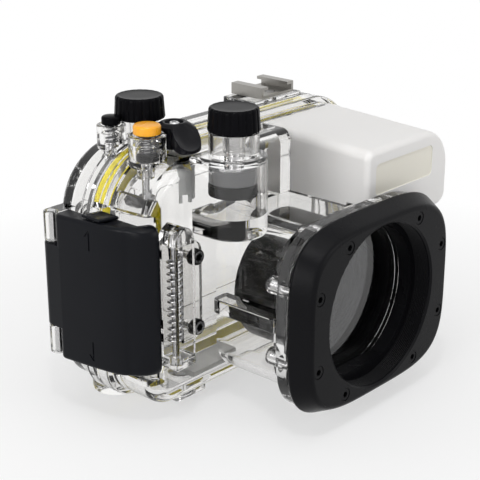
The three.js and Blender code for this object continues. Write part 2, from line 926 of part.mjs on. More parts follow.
function frontCase() {
  const body = cut(join([frontShell(), foot(farFoot)]), [diffuserStep(), latchRelief(), frontRoom()]);
  const screwBores = [catchScrewTop, catchScrewBottom].map((z) =>
    barY(catchScrewX, z, catchScrewRadius + gap, frontFace - overrun, frontFace + wall - gap, small));
  return cut(join([
    body,
    post(leverX, leverY, leverCollarRadius, caseTop - wall, leverCollarTop),
    seatAt(shutter),
    seatAt(power),
    knuckle(doorKnuckleHalf + knuckleGap, doorKnuckleHalf + knuckleGap + knuckleLength, true),
    knuckle(-doorKnuckleHalf - knuckleGap - knuckleLength, -doorKnuckleHalf - knuckleGap, true),
  ]), [
    sealGroove(),
    portRoom(),
    towerRoom(),
    post(leverX, leverY, shaftRadius + gap, caseTop - 2 * wall, leverCollarTop + overrun, small),
    pocketsAt(shutter),
    pocketsAt(power),
    hingeBore(),
    ...screwBores,
    insertHole(),
  ]);
}

function backShell() {
  const start = seam + seamGap;
  const body = prismY(caseOutline(0), start - 2 * edgeRound, backFace, backRound);
  const rim = prismY(caseOutline(-rimProud), start, start + rimDepth);
  const ahead = block(2 * caseLeft, 2 * caseRight, frontFace, start, 2 * caseBottom, 2 * caseTop);
  return join([cut(body, [ahead]), rim]);
}

function backRoom() {
  const start = seam + seamGap;
  return join([
    prismY(caseOutline(rimInset), start - overrun, start + rimDepth + overrun),
    prismY(caseOutline(wall), start + rimDepth, backFace - wall),
  ]);
}

function latchLug(low, high) {
  const radius = latchBarrelRadius;
  return join([
    post(latchPinX, latchPinY, radius, low, high),
    block(latchPinX, caseLeft + overrun, latchPinY - radius, latchPinY + radius, low, high),
  ]);
}

function backButtonPlaces() {
  const wide = caseRight - caseLeft;
  const high = caseTop - caseBottom;
  return backButtonShares.map(([across, up]) => [caseLeft + across * wide, caseBottom + up * high]);
}

function viewFrame() {
  const shape = roundedOutline(caseLeft + viewLeftInset, caseRight - viewRightInset,
    caseBottom + viewBottomInset, caseTop - viewTopInset, viewCorner);
  return prismY(shape, backFace - overrun, backFace + viewRaise, viewRaise / 2);
}

function rearCase() {
  const start = seam + seamGap;
  const ahead = block(2 * caseLeft, 2 * caseRight, frontFace, start, 2 * standHeight, caseBottom + overrun);
  const hollow = cut(join([backShell(), foot(backFoot), foot(farBackFoot)]), [backRoom(), ahead]);
  const screwBores = shoeScrewPlaces().map(([x, y]) =>
    post(x, y, shoeScrewRadius + gap, shoeSeat - shoeScrewLength, shoeSeat + overrun, small));
  return cut(join([
    hollow,
    block(shoeBlockLeft, shoeBlockRight, shoeFront - gap, shoeBack + gap, caseTop - overrun, shoeSeat),
    post(modeX, modeY, modeCollarRadius, caseTop - wall, modeTop - knobHeight - gap),
    seatAt(playback),
    latchLug(tongueTop + latchLugGap, latchTop - latchLugGap),
    latchLug(latchBottom + latchLugGap, tongueBottom - latchLugGap),
    knuckle(-doorKnuckleHalf, doorKnuckleHalf, false),
    viewFrame(),
    ...backButtonPlaces().map(([x, z]) => alongY(buttonSeat(backButton), x, z)),
    barY(backDialX, backDialZ, shaftRadius + gap + guideWall, backFace - backDialGuide, backFace),
  ]), [
    post(modeX, modeY, shaftRadius + gap, caseTop - 3 * wall, modeTop, small),
    pocketsAt(playback),
    hingeBore(),
    post(latchPinX, latchPinY, latchPinRadius + pinClearance, latchBottom, latchTop, small),
    ...backButtonPlaces().map(([x, z]) => alongY(buttonPockets(backButton), x, z)),
    barY(backDialX, backDialZ, shaftRadius + gap, backFace - 2 * backDialGuide, backFace + overrun, small),
    ...screwBores,
  ]);
}

function mainSeal() {
  const back = seam + sealProud;
  const inner = prismY(caseOutline(sealInset + sealWidth), back - sealDepth - overrun, back + overrun);
  return cut(prismY(caseOutline(sealInset), back - sealDepth, back), [inner]);
}

// Port

function portRing() {
  const soft = ringEdge / 3;
  const body = ovalY([
    [0, ringFrontWide - ringEdge, ringFrontHigh - ringEdge],
    [soft, ringFrontWide - soft, ringFrontHigh - soft],
    [ringEdge, ringFrontWide, ringFrontHigh],
    [ringDepth - ringEdge, ringBackWide, ringBackHigh],
    [ringDepth, ringBackWide - ringEdge, ringBackHigh - ringEdge],
  ]);
  const spigot = barY(0, 0, glassRadius, ringDepth - overrun, glassFront - gap, fine);
  const window = flatBar(windowRadius, windowHalfHeight, -overrun, glassFront + overrun);
  const seat = portScrewHeadSink + portScrewHeadDepth + gap;
  const holes = portScrewPlaces().flatMap(([x, z]) => [
    barY(x, z, portScrewHeadRadius + gap, -overrun, seat, headSides),
    barY(x, z, portScrewRadius + gap, seat - overrun, ringDepth + overrun, screwSides),
  ]);
  return cut(join([body, spigot]), [barY(0, 0, threadRadius, -overrun, threadDepth, fine), window, ...holes]);
}

function portScrew(x, z) {
  const seat = portScrewHeadSink + portScrewHeadDepth;
  const body = turned([[0, portScrewHeadSink], [portScrewHeadRadius, portScrewHeadSink],
    [portScrewHeadRadius, seat], [portScrewRadius, seat], [portScrewRadius, portScrewTip],
    [0, portScrewTip]], 0, 0, headSides);
  const socketRadius = (portScrewHeadRadius + portScrewRadius) / 3;
  const socket = post(0, 0, socketRadius, 0, portScrewHeadSink + portScrewHeadDepth / 2, 6);
  return alongY(cut(body, [socket]), x, z);
}

function portGlass() {
  return barY(0, 0, glassRadius, glassFront, glassFront + glassThickness, fine);
}

function glassGasket() {
  const front = glassFront + glassThickness + gap;
  return tubeY(0, 0, glassRadius - gasketWidth, glassRadius, front, front + gasketThickness, fine);
}

// A round bar along +Y, flat above and below.
function flatBar(radius, half, y0, y1) {
  return barY(0, 0, radius, y0, y1, fine).intersect(block(-radius, radius, y0, y1, -half, half));
}

function lensShroud() {
  const flange = barY(0, 0, glassRadius, shroudFront, shroudFront + shroudFlangeDepth, fine);
  const tube = barY(0, -shroudDrop, shroudRadius, shroudFront, shroudBack, fine);
  const inner = shroudRadius - shroudWall;
  const bore = barY(0, -shroudDrop, inner, shroudFront - overrun, shroudBack + overrun, fine);
  return cut(join([flange, tube]), [bore]);
}

// Latch and catch

function latchProfile() {
  const shape = new THREE.Shape();
  const tipBack = latchTipY + latchWall;
  const coverBack = seam - latchCoverGap;
  shape.moveTo(latchInnerX, latchBack);
  shape.lineTo(latchOuter + latchCorner, latchBack);
  shape.absarc(latchOuter + latchCorner, latchBack - latchCorner, latchCorner, Math.PI / 2, Math.PI);
  shape.quadraticCurveTo(latchOuter + latchCorner, latchBendY + latchCorner, latchBendX, latchBendY);
  shape.quadraticCurveTo(latchBendX + latchCorner, latchTipY, latchTipX - latchEdge, latchTipY);
  shape.lineTo(latchTipX, latchTipY + latchEdge);
  shape.lineTo(latchTipX, tipBack);
  shape.lineTo(latchCoverX, tipBack + latchWall);
  shape.lineTo(latchCoverX, coverBack);
  shape.lineTo(latchInnerX, coverBack);
  return outline(shape.getPoints(latchSteps).map((p) => [p.x, p.y]));
}

// The room between the cover's plate and the case, open towards the case.
function latchRoom() {
  const low = latchBottom + latchWall;
  const high = latchTop - latchWall;
  const clawBack = latchTipY + latchWall;
  const inside = prismZ(latchProfile(), low, high).translate([latchWall, 0, 0]);
  const behindClaw = block(latchOuter, 0, clawBack, latchBack - latchWall, low, high);
  const mouth = block(latchCoverX - overrun, 0, clawBack + latchWall, latchBack - latchWall, low, high);
  return inside.intersect(behindClaw).add(mouth);
}

function lockSlot() {
  const half = lockStem / 2 + gap;
  const low = latchTop - latchWall - overrun;
  return block(lockX - half, lockX + half, lockY - half - lockTravel, lockY + half, low, latchTop + overrun);
}

function latchLever() {
  const cover = prismZ(latchProfile(), latchBottom, latchTop, latchEdge);
  const tongue = join([
    post(latchPinX, latchPinY, latchBarrelRadius, tongueBottom, tongueTop),
    block(latchOuter, latchPinX, latchBack - latchWall, latchPinY, tongueBottom, tongueTop),
  ]);
  const pinBore = post(latchPinX, latchPinY, latchPinRadius + pinClearance, tongueBottom - overrun,
    tongueTop + overrun, small);
  return cut(join([cut(cover, [latchRoom()]), tongue]), [pinBore, lockSlot()]);
}

function latchLock() {
  const long = lockLength / 2;
  const wide = lockWidth / 2;
  const half = lockStem / 2;
  const low = latchTop + gap;
  const under = latchTop - latchWall - gap;
  const lean = outline([[-wide, -long + lockLean], [wide, -long], [wide, long - lockLean], [-wide, long]]);
  const pad = prismZ(lean, low, low + lockHeight, lockHeight / 4, 1).translate([lockX, lockY, 0]);
  const foot = under - lockToe;
  const stem = block(lockX - half, lockX + half, lockY - half, lockY + half, foot, low + lockHeight / 2);
  const toe = block(lockX - half, lockX + lockToeReach, lockY - half, lockY, foot, under);
  return join([pad, stem, toe]);
}

function latchPin() {
  return post(latchPinX, latchPinY, latchPinRadius, latchBottom + latchLugGap, latchTop - latchLugGap, small);
}

function catchBracket() {
  const around = roundedOutline(catchLeft, catchRight, catchBottom, catchTop, catchSmallCorner, catchCorner);
  const foot = roundedOutline(catchRight - catchCorner, catchFootRight, catchFootBottom, catchFootTop, catchCorner);
  const frame = prismY(around, catchFront, catchBack);
  const plate = prismY(foot, catchBack - catchFootDepth, catchBack);
  const window = block(catchLeft + catchFrame, catchRight - catchFrame, catchFront - overrun,
    catchBack - catchFrame, catchBottom + catchRailHigh, catchTop - catchRailHigh);
  const holes = [catchScrewTop, catchScrewBottom].map((z) =>
    barY(catchScrewX, z, catchScrewRadius + gap, catchFront, frontFace, small));
  const rodHole = post(catchRodX, catchRodY, catchRodRadius + pinClearance, catchBottom + catchRodInset - gap,
    catchTop - catchRodInset + gap, small);
  return cut(join([frame, plate]), [window, rodHole, ...holes]);
}

function catchRod() {
  const low = catchBottom + catchRodInset;
  return post(catchRodX, catchRodY, catchRodRadius, low, catchTop - catchRodInset, small);
}

function catchScrew(z) {
  const seat = catchBack - catchFootDepth - gap;
  const front = seat - catchScrewHeadDepth;
  const tip = frontFace + wall - 2 * gap;
  const body = turned([[0, front], [catchScrewHead - gap, front], [catchScrewHead, front + gap],
    [catchScrewHead, seat], [catchScrewRadius, seat], [catchScrewRadius, tip], [0, tip]], 0, 0, small);
  const socket = post(0, 0, hexRadius, front - overrun, front + hexDepth, 6);
  return alongY(cut(body, [socket]), catchScrewX, z);
}

// Knobs

function flutedCircle() {
  const share = 1 - fluteDepth / knobRadius;
  const pattern = [share, 1, 1];
  const steps = pattern.length;
  return Array.from({ length: fluteCount * steps }, (_, i) => {
    const angle = (i / (fluteCount * steps)) * 2 * Math.PI;
    const radius = pattern[i % steps];
    return [radius * Math.cos(angle), radius * Math.sin(angle)];
  });
}

function knob(x, y, top) {
  const low = top - knobHeight;
  const neck = knobTopRadius + knobChamfer / 3;
  const body = lofted(flutedCircle(), [
    [low, knobRadius - knobChamfer / 2, knobRadius - knobChamfer / 2],
    [low + knobChamfer / 2, knobRadius, knobRadius],
    [top - knobChamfer, neck, neck],
    [top, knobTopRadius - knobChamfer, knobTopRadius - knobChamfer],
  ]);
  const socket = post(0, 0, shaftRadius + gap, low - overrun, low + knobSocket + gap, small);
  return cut(body, [socket]).translate([x, y, 0]);
}

function knobShaft(x, y, top, bottom) {
  return post(x, y, shaftRadius, bottom, top - knobHeight + knobSocket, small);
}

function dialHub() {
  return collar(dialX, dialY, shaftRadius + gap, dialHubRadius, dialHubBottom, dialHubTop);
}

function roller(x, y, radius, top) {
  return collar(x, y, shaftRadius + gap, radius, top - rollerHeight, top);
}

// Zoom lever

function sector(inner, outer, start, span, steps = 8) {
  const points = [];
  for (let i = 0; i <= steps; i += 1) {
    const angle = (start + (span * i) / steps) * degree;
    points.push([outer * Math.cos(angle), outer * Math.sin(angle)]);
  }
  for (let i = steps; i >= 0; i -= 1) {
    const angle = (start + (span * i) / steps) * degree;
    points.push([inner * Math.cos(angle), inner * Math.sin(angle)]);
  }
  return outline(points);
}

function zoomLever() {
  const low = leverTop - leverHubHeight;
  const edge = leverHubHeight / 4;
  const hub = turned([[0, low], [leverHubRadius, low], [leverHubRadius, leverTop - edge],
    [leverHubRadius - edge, leverTop], [0, leverTop]]);
  const pad = prismZ(sector(leverReach - leverPadWidth, leverReach, leverPadTurnDegrees - leverPadHalfDegrees,
    2 * leverPadHalfDegrees), leverPadTop - leverPadHeight, leverPadTop, leverPadEdge);
  const half = leverArmWidth / 2;
  const armEnd = leverReach - leverPadWidth / 2;
  const arm = prismZ(outline([[0, -half], [armEnd, -half], [armEnd, half], [0, half]]), low, leverArmTop);
  const seat = leverTop - leverScrewHeight;
  const bores = [
    post(0, 0, leverScrewRadius + gap, seat, leverTop + overrun, small),
    post(0, 0, leverScrewStem + gap, low, leverTop, small),
    post(0, 0, shaftRadius + gap, low - overrun, seat - leverScrewWeb, small),
  ];
  return cut(join([hub, pad, arm.rotate([0, 0, leverPadTurnDegrees])]), bores).translate([leverX, leverY, 0]);
}

function zoomScrew() {
  const top = leverTop - gap;
  const seat = leverTop - leverScrewHeight + gap;
  const tip = seat - leverScrewReach;
  const body = turned([[0, tip], [leverScrewStem, tip], [leverScrewStem, seat], [leverScrewRadius, seat],
    [leverScrewRadius, top], [0, top]], leverX, leverY, small);
  return cut(body, [post(leverX, leverY, leverScrewStem, top - leverScrewHeight / 3, top + overrun, 6)]);
}

function zoomFork() {
  const bottom = forkTop - forkSkirt;
  const shaftTop = leverTop - leverScrewHeight - leverScrewWeb - gap;
  const shape = (inner) => sector(inner, forkRadius, forkStartDegrees, forkSpanDegrees);
  const plate = prismZ(shape(shaftRadius / 2), forkTop - forkWall, forkTop);
  const skirt = prismZ(shape(forkRadius - forkWall), bottom, forkTop);
  const pitch = forkSpanDegrees / forkTeeth;
  const notches = [];
  for (let i = 0; i < forkTeeth; i += 1) {
    const start = forkStartDegrees + pitch * (i + forkToothShare / 2);
    const notch = sector(forkRadius / 2, forkRadius + overrun, start, pitch * forkToothShare, 4);
    notches.push(prismZ(notch, bottom - overrun, bottom + forkToothDepth));
  }
  const shaft = post(0, 0, shaftRadius, forkTop - forkWall, shaftTop, small);
  const bore = post(0, 0, leverScrewStem + gap, shaftTop - leverScrewReach, shaftTop + overrun, small);
  return cut(join([plate, skirt, shaft]), [bore, ...notches]).translate([leverX, leverY, 0]);
}

// Push buttons

function buttonCap(button) {
  const { top, bottom, foot } = levels(button);
  const dome = button.capHeight / 4;
  return turned([[0, foot], [stemFootRadius, foot], [stemFootRadius, foot + stemFootHeight],
    [stemRadius, foot + stemFootHeight], [stemRadius, bottom], [button.cap, bottom], [button.cap, top - dome],
    [button.cap - dome, top - dome / 3], [0, top]], 0, 0, buttonSides);
}

function buttonSpring(name, button, sealed) {
  const { floor, bottom } = levels(button);
  const low = floor + gap + (sealed ? sealRingHeight + gap : 0);
  const high = bottom - gap;
  const pocket = button.cap - pocketStep + gap;
  const radius = (stemRadius + pocket) / 2;
  const coil = spring(name, radius, springWire, high - low, button.curls);
  return { coil, low };
}

function addTopButton(names, button, look, sealed) {
  addPart(names[0], buttonCap(button), look, [button.x, button.y, 0]);
  const { coil, low } = buttonSpring(names[1], button, sealed);
  addPart(names[1], coil, 'steel', [button.x, button.y, low]);
}

function addBackButtons() {
  backButtonPlaces().forEach(([x, z], i) => {
    addPart(`back_button_${i + 1}`, alongY(buttonCap(backButton), x, z), 'black');
    const name = `back_spring_${i + 1}`;
    const { coil, low } = buttonSpring(name, backButton, false);
    coil.rotateX(-Math.PI / 2);
    coil.translate(x, low, z);
    addPart(name, coil, 'steel');
  });
}

function shutterSeal() {
  const low = levels(shutter).floor + gap;
  const outer = shutter.cap - pocketStep;
  return collar(shutter.x, shutter.y, stemRadius + gap, outer, low, low + sealRingHeight);
}

function backDial() {
  const low = backFace + backDialGap;
  const top = low + backDialHeight;
  const inner = backDialRadius / 2;
  const foot = backFace - backDialReach;
  const edge = backDialDish / 2;
  return alongY(turned([[0, foot], [shaftRadius, foot], [shaftRadius, low], [backDialRadius, low],
    [backDialRadius, top - edge], [backDialRadius - edge, top], [inner + backDialDish, top],
    [inner, top - backDialDish], [0, top - backDialDish]]), backDialX, backDialZ);
}

// Diffuser

function quarter(x, z, radius, start) {
  return Array.from({ length: cornerSteps + 1 }, (_, k) => {
    const angle = start + (k / cornerSteps) * (Math.PI / 2);
    return [x + radius * Math.cos(angle), z + radius * Math.sin(angle)];
  });
}

// The hood's outline at one depth, drawn in by an inset; its top rises towards the back.
function hoodSection(inset, y) {
  const share = (y - diffuserFront) / (diffuserBack - diffuserFront);
  const top = diffuserFrontTop + (diffuserBackTop - diffuserFrontTop) * share - inset;
  const left = diffuserLeft + inset;
  const right = diffuserRight - inset;
  const low = diffuserLow + inset;
  const lowCorner = Math.max(diffuserLowCorner - inset, gap);
  const shoulder = diffuserShoulder - inset;
  const corner = Math.max(diffuserCorner - inset, gap);
  const points = [
    [left, low],
    ...quarter(right - lowCorner, low + lowCorner, lowCorner, -Math.PI / 2),
    ...quarter(right - shoulder, top - shoulder, shoulder, 0),
    ...quarter(left + corner, top - corner, corner, Math.PI / 2),
  ];
  return points.map(([x, z]) => [x, z, -y]);
}

// The hood, or with an inset its hollow. It is raised over the port tube and over the tube's screw bosses.
function hood(inset, sections) {
  const rings = sections.map(([y, edge]) => hoodSection(inset + edge, y)).reverse();
  const side = tubeWide + 4 * gap + inset;
  const floor = diffuserFloor + inset;
  const bossRoom = tubeRoomFront + gap + inset;
  return cut(skinned(rings).rotate([90, 0, 0]), [
    block(0, side, 0, seam, tubeBottom, floor),
    block(0, side, 0, bossRoom, tubeBottom, diffuserHighFloor + inset),
    block(0, 2 * caseRight, frontFace - gap - inset, seam, tubeBottom, floor),
  ]);
}

function diffuser() {
  const edge = diffuserEdge;
  const outside = hood(0, [[diffuserFront, edge], [diffuserFront + edge / 3, edge / 3],
    [diffuserFront + edge, 0], [diffuserBack, 0]]);
  const inside = hood(diffuserWall, [[diffuserFront + diffuserWall, 0], [diffuserBack + overrun, 0]]);
  const panel = block(diffuserLeft + diffuserPanelLeft, diffuserRight - diffuserPanelRight, 0,
    diffuserFront + diffuserPanel, diffuserHighFloor + diffuserPanelLow, diffuserFrontTop - diffuserPanelTop);
  return cut(outside, [inside, panel]);
}

// Accessory shoe

function shoeScrewPlaces() {
  const middle = (shoeLeft + shoeRight) / 2;
  const third = (shoeBack - shoeFront) / 4;
  return [[middle, shoeFront + third], [middle, shoeBack - third]];
}

function accessoryShoe() {
  const low = shoeSeat + gap;
  const high = low + shoeHeight;
  const t = shoeSheet;
  const section = outline([[shoeLeft, low], [shoeRight, low], [shoeRight, high], [shoeRight - shoeLip, high],
    [shoeRight - shoeLip, high - t], [shoeRight - t, high - t], [shoeRight - t, low + t],
    [shoeLeft + t, low + t], [shoeLeft + t, high - t], [shoeLeft + shoeLip, high - t],
    [shoeLeft + shoeLip, high], [shoeLeft, high]]);
  const holes = shoeScrewPlaces().flatMap(([x, y]) => [
    post(x, y, shoeScrewRadius + gap, low - overrun, high, small),
    post(x, y, shoeScrewHead + gap, low + t - shoeScrewHeadDepth, high, small),
  ]);
  return cut(prismY(section, shoeFront, shoeBack), holes);
}

function shoeScrew([x, y]) {
  const top = shoeSeat + gap + shoeSheet;
  const seat = top - shoeScrewHeadDepth + gap;
  const tip = shoeSeat - shoeScrewLength + gap;
  return turned([[0, tip], [shoeScrewRadius, tip], [shoeScrewRadius, seat], [shoeScrewHead, seat],
    [shoeScrewHead, top], [0, top]], x, y, small);
}

// Underside and inside

function tripodInsert() {
  const x = (bossLeft + bossRight) / 2;
  const y = (bossFront + bossBack) / 2;
  return collar(x, y, insertBore, insertRadius, standHeight + gap, standHeight + insertDepth);
}

function cameraPad(left) {
  const low = caseBottom + wall + gap;
  return block(left, left + padLong, padFront, padFront + padDepth, low, low + padHeight);
}

function hingePin() {
  const half = doorKnuckleHalf + knuckleGap + knuckleLength;
  return post(hingeX, hingeY, hingePinRadius, -half, half, small);
}

addPart('front_case', frontCase(), 'clear');
addPart('port_tube', portTube(), 'clear');
addPart('dial_tower', dialTower(), 'clear');
addPart('tripod_boss', tripodBoss(), 'clear');
addPart('rear_case', rearCase(), 'clear');
addPart('main_seal', mainSeal(), 'yellow');
addPart('port_ring', portRing(), 'black');
portScrewPlaces().forEach(([x, z], i) => addPart(`port_screw_${i + 1}`, portScrew(x, z), 'steel'));
addPart('port_glass', portGlass(), 'glass');
addPart('port_glass_gasket', glassGasket(), 'rubber');
addPart('lens_shroud', lensShroud(), 'black');
addPart('latch_lever', latchLever(), 'satin');
addPart('latch_lock', latchLock(), 'satin');
addPart('latch_pin', latchPin(), 'steel');
addPart('catch_bracket', catchBracket(), 'clear');
addPart('catch_rod', catchRod(), 'steel');
addPart('catch_screw_upper', catchScrew(catchScrewTop), 'steel');
addPart('catch_screw_lower', catchScrew(catchScrewBottom), 'steel');
const catchMiddle = (catchBottom + catchTop) / 2;
addPart('catch_spring', spring('catch_spring', catchSpringRadius, catchSpringWire, catchSpringLength,
  catchSpringCurls), 'steel', [catchRodX, catchRodY, catchMiddle - catchSpringLength / 2]);
addPart('door_hinge_pin', hingePin(), 'steel');
addPart('front_dial_knob', knob(dialX, dialY, dialTop), 'black');
addPart('front_dial_shaft', knobShaft(dialX, dialY, dialTop, dialHubBottom - rollerHeight), 'steel');
addPart('front_dial_hub', dialHub(), 'grey');
addPart('front_dial_roller', roller(dialX, dialY, dialRollerRadius, dialHubBottom - gap), 'rubber');
addPart('mode_knob', knob(modeX, modeY, modeTop), 'black');
addPart('mode_shaft', knobShaft(modeX, modeY, modeTop, modeRollerTop - rollerHeight), 'steel');
addPart('mode_roller', roller(modeX, modeY, modeRollerRadius, modeRollerTop), 'rubber');
addPart('zoom_lever', zoomLever(), 'black');
addPart('zoom_lever_screw', zoomScrew(), 'steel');
addPart('zoom_fork', zoomFork(), 'milky');
addTopButton(['shutter_button', 'shutter_spring'], shutter, 'orange', true);
addPart('shutter_seal', shutterSeal(), 'rubber');
addTopButton(['playback_button', 'playback_spring'], playback, 'black', false);
addTopButton(['power_button', 'power_spring'], power, 'black', false);
addBackButtons();
addPart('back_dial', backDial(), 'black');
addPart('diffuser', diffuser(), 'milky');
addPart('accessory_shoe', accessoryShoe(), 'steel');
shoeScrewPlaces().forEach((place, i) => addPart(`shoe_screw_${i + 1}`, shoeScrew(place), 'steel'));
addPart('tripod_insert', tripodInsert(), 'steel');
padStarts.forEach((left, i) => addPart(`camera_pad_${i + 1}`, cameraPad(left), 'rubber'));

// The origin goes to the middle of the footprint, at the height of the feet.
const box = new THREE.Box3().setFromObject(assembly);
const middle = box.getCenter(new THREE.Vector3());
assembly.position.set(-middle.x, -middle.y, -box.min.z);
assembly.updateMatrixWorld(true);

export default assembly;
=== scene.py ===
import bpy, bmesh, math
from collections import namedtuple
from mathutils import Matrix, Vector


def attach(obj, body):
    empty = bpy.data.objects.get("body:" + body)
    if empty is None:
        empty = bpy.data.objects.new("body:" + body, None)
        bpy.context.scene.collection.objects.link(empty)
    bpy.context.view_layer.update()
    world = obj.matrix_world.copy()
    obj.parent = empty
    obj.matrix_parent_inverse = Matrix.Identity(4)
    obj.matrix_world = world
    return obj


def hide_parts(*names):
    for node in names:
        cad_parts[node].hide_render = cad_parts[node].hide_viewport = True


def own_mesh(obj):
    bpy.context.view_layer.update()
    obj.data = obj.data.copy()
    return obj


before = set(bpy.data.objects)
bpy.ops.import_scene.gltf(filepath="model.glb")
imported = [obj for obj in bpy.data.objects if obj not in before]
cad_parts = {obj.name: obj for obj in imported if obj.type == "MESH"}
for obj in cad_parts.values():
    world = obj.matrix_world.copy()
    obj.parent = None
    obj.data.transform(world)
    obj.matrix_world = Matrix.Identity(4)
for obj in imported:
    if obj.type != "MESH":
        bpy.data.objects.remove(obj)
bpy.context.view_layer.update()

# Everything is drawn in millimetres: x and z are measured from the port's axis, and y runs back from the front
# face of the port ring. piece() moves a finished body into the frame.
SHIFT = Vector((0.1, 55.5, -46.0))
TO_FRAME = Matrix.Scale(0.001, 4) @ Matrix.Translation(-SHIFT)

GAP = 0.3
OVER = 1                # how far a cutter runs past the face that it opens
WELD = 1e-4             # points nearer than this are one point
MITRE = 0.35            # at a sharp corner an inset point moves by its inset over this at most
RIGHT = math.pi / 2

# The case: its outline, the front half from CASE_FRONT to SEAM, and the door from DOOR_FRONT to CASE_BACK
CASE_X, CASE_Z = (-75, 77), (-39, 60)
LOW_CORNER, HIGH_CORNER, LEAST_CORNER, CORNER_STEPS = 14, 27, 4, 18
CASE_FRONT, SEAM, DOOR_FRONT, CASE_BACK = 56, 84, 84.5, 105.5
WALL = 4
RIM_FRONT, RIM_BACK, RIM_PROUD, RIM_OPENING = 78, 90.5, 2.5, 10
SEAL_OUTSIDE, SEAL_INSIDE, SEAL_FRONT, SEAL_BACK, GROOVE_FRONT = 3.4, 8.1, 79.25, 84.2, 79

# Axes, as (x, y) where they stand upright, and the holes for what turns on them
HINGE, LATCH_AXIS = (83.6, 84.25), (-83.4, 99.4)
FRONT_DIAL, MODE_DIAL, ZOOM = (-37, 46), (-42, 92.2), (-42, 73)
FRONT_DIAL_TOP, MODE_DIAL_TOP = 80, 78
TRIPOD = (-42.2, 73.5)
WHEEL = (-49.5, 4.6)    # the control wheel on the door, as (x, z)
PIN_HOLE, SHAFT_HOLE = 1.8, 2.6

# The latch, and the two screws that hold the catch frame to the case
LATCH_LOW, LATCH_HIGH = -22, 39
CLAW = (-70, 55.4)
CATCH_SCREW_X, CATCH_SCREW_ZS = -53.6, (23, -6.4)


# Outlines. They all run anticlockwise.

def arc(cx, cy, r, a0, a1, n):
    angles = [a0 + (a1 - a0) * i / n for i in range(n + 1)]
    return [(cx + r * math.cos(a), cy + r * math.sin(a)) for a in angles]


def quarter(n, first=0):
    """The angles of a quarter turn in n steps."""
    return [k / n * RIGHT for k in range(first, n + 1)]


def rounded(x0, x1, y0, y1, low, high=None, n=10):
    """A rectangle with one radius at its lower corners and another at its upper ones."""
    high = low if high is None else high
    return (arc(x1 - low, y0 + low, low, -RIGHT, 0, n) + arc(x1 - high, y1 - high, high, 0, RIGHT, n)
            + arc(x0 + high, y1 - high, high, RIGHT, 2 * RIGHT, n)
            + arc(x0 + low, y0 + low, low, 2 * RIGHT, 3 * RIGHT, n))


def case(d=0.0):
    """The outline of the case, drawn in by d."""
    low, high = max(LOW_CORNER - d, LEAST_CORNER), max(HIGH_CORNER - d, LEAST_CORNER)
    return rounded(CASE_X[0] + d, CASE_X[1] - d, CASE_Z[0] + d, CASE_Z[1] - d, low, high, CORNER_STEPS)


def quad(a, b, c, n):
    """A curve from a to c that b pulls towards itself."""
    return [tuple((1 - t) ** 2 * p + 2 * t * (1 - t) * q + t * t * r for p, q, r in zip(a, b, c))
            for t in [i / n for i in range(n + 1)]]


def box(x0, x1, y0, y1):
    return [(x0, y0), (x1, y0), (x1, y1), (x0, y1)]


def tidy(points):
    """The points without those that repeat the one before."""
    out = []
    for p in points:
        if not out or math.dist(p, out[-1]) > WELD:
            out.append(p)
    if math.dist(out[0], out[-1]) < WELD:
        out.pop()
    return out


def inset(points, d):
    """An outline drawn in by d, with its corners kept sharp."""
    if not d:
        return points
    n, out = len(points), []
    for i, p in enumerate(points):
        a, b = points[i - 1], points[(i + 1) % n]
        u = Vector((p[0] - a[0], p[1] - a[1])).normalized()
        v = Vector((b[0] - p[0], b[1] - p[1])).normalized()
        nu, nv = Vector((-u.y, u.x)), Vector((-v.y, v.x))
        m = nu + nv
        m = m / max(m.dot(nu), MITRE) if m.length > 1e-6 else nu
        out.append((p[0] + m.x * d, p[1] + m.y * d))
    return out


def smooth_step(t):
    t = min(1, max(0, t))
    return t * t * (3 - 2 * t)


# Solids

def new_object(name, data):
    o = bpy.data.objects.new(name, data)
    bpy.context.scene.collection.objects.link(o)
    return o


def mesh_from(verts, faces):
    mesh = bpy.data.meshes.new("raw")
    mesh.from_pydata(verts, [], faces)
    o = new_object("raw", mesh)
    bm = bmesh.new()
    bm.from_mesh(mesh)
    bmesh.ops.remove_doubles(bm, verts=bm.verts, dist=WELD)
    bmesh.ops.recalc_face_normals(bm, faces=bm.faces)
    bm.to_mesh(mesh)
    bm.free()
    return o


def loft(rings):
    """The skin over a row of rings with equally many points, closed at both ends."""
    n = len(rings[0])
    verts = [v for ring in rings for v in ring]
    faces = [(k * n + i, k * n + (i + 1) % n, (k + 1) * n + (i + 1) % n, (k + 1) * n + i)
             for k in range(len(rings) - 1) for i in range(n)]
    faces += [tuple(reversed(range(n))), tuple((len(rings) - 1) * n + i for i in range(n))]
    return mesh_from(verts, faces)


# A point of an outline and a height along the named axis, as a point in space
PLACES = {"x": lambda p, h: (h, p[0], p[1]),
          "y": lambda p, h: (p[0], h, p[1]),
          "z": lambda p, h: (p[0], p[1], h)}


def round_levels(a0, a1, edge, steps, start=True, end=True):
    """Heights and insets of a body whose two ends are rounded over."""
    angles = quarter(steps)
    low, high = [(a0, 0)], [(a1, 0)]
    if edge and start:
        low = [(a0 + edge * (1 - math.cos(t)), edge * (1 - math.sin(t))) for t in angles]
    if edge and end:
        high = [(a1 - edge * (1 - math.cos(t)), edge * (1 - math.sin(t))) for t in reversed(angles)]
    return low + high


def prism(points, a0, a1, axis="z", edge=0.0, steps=4, start=True, end=True):
    points, put = tidy(points), PLACES[axis]
    sections = round_levels(a0, a1, edge, steps, start, end)
    return loft([[put(p, h) for p in inset(points, d)] for h, d in sections])


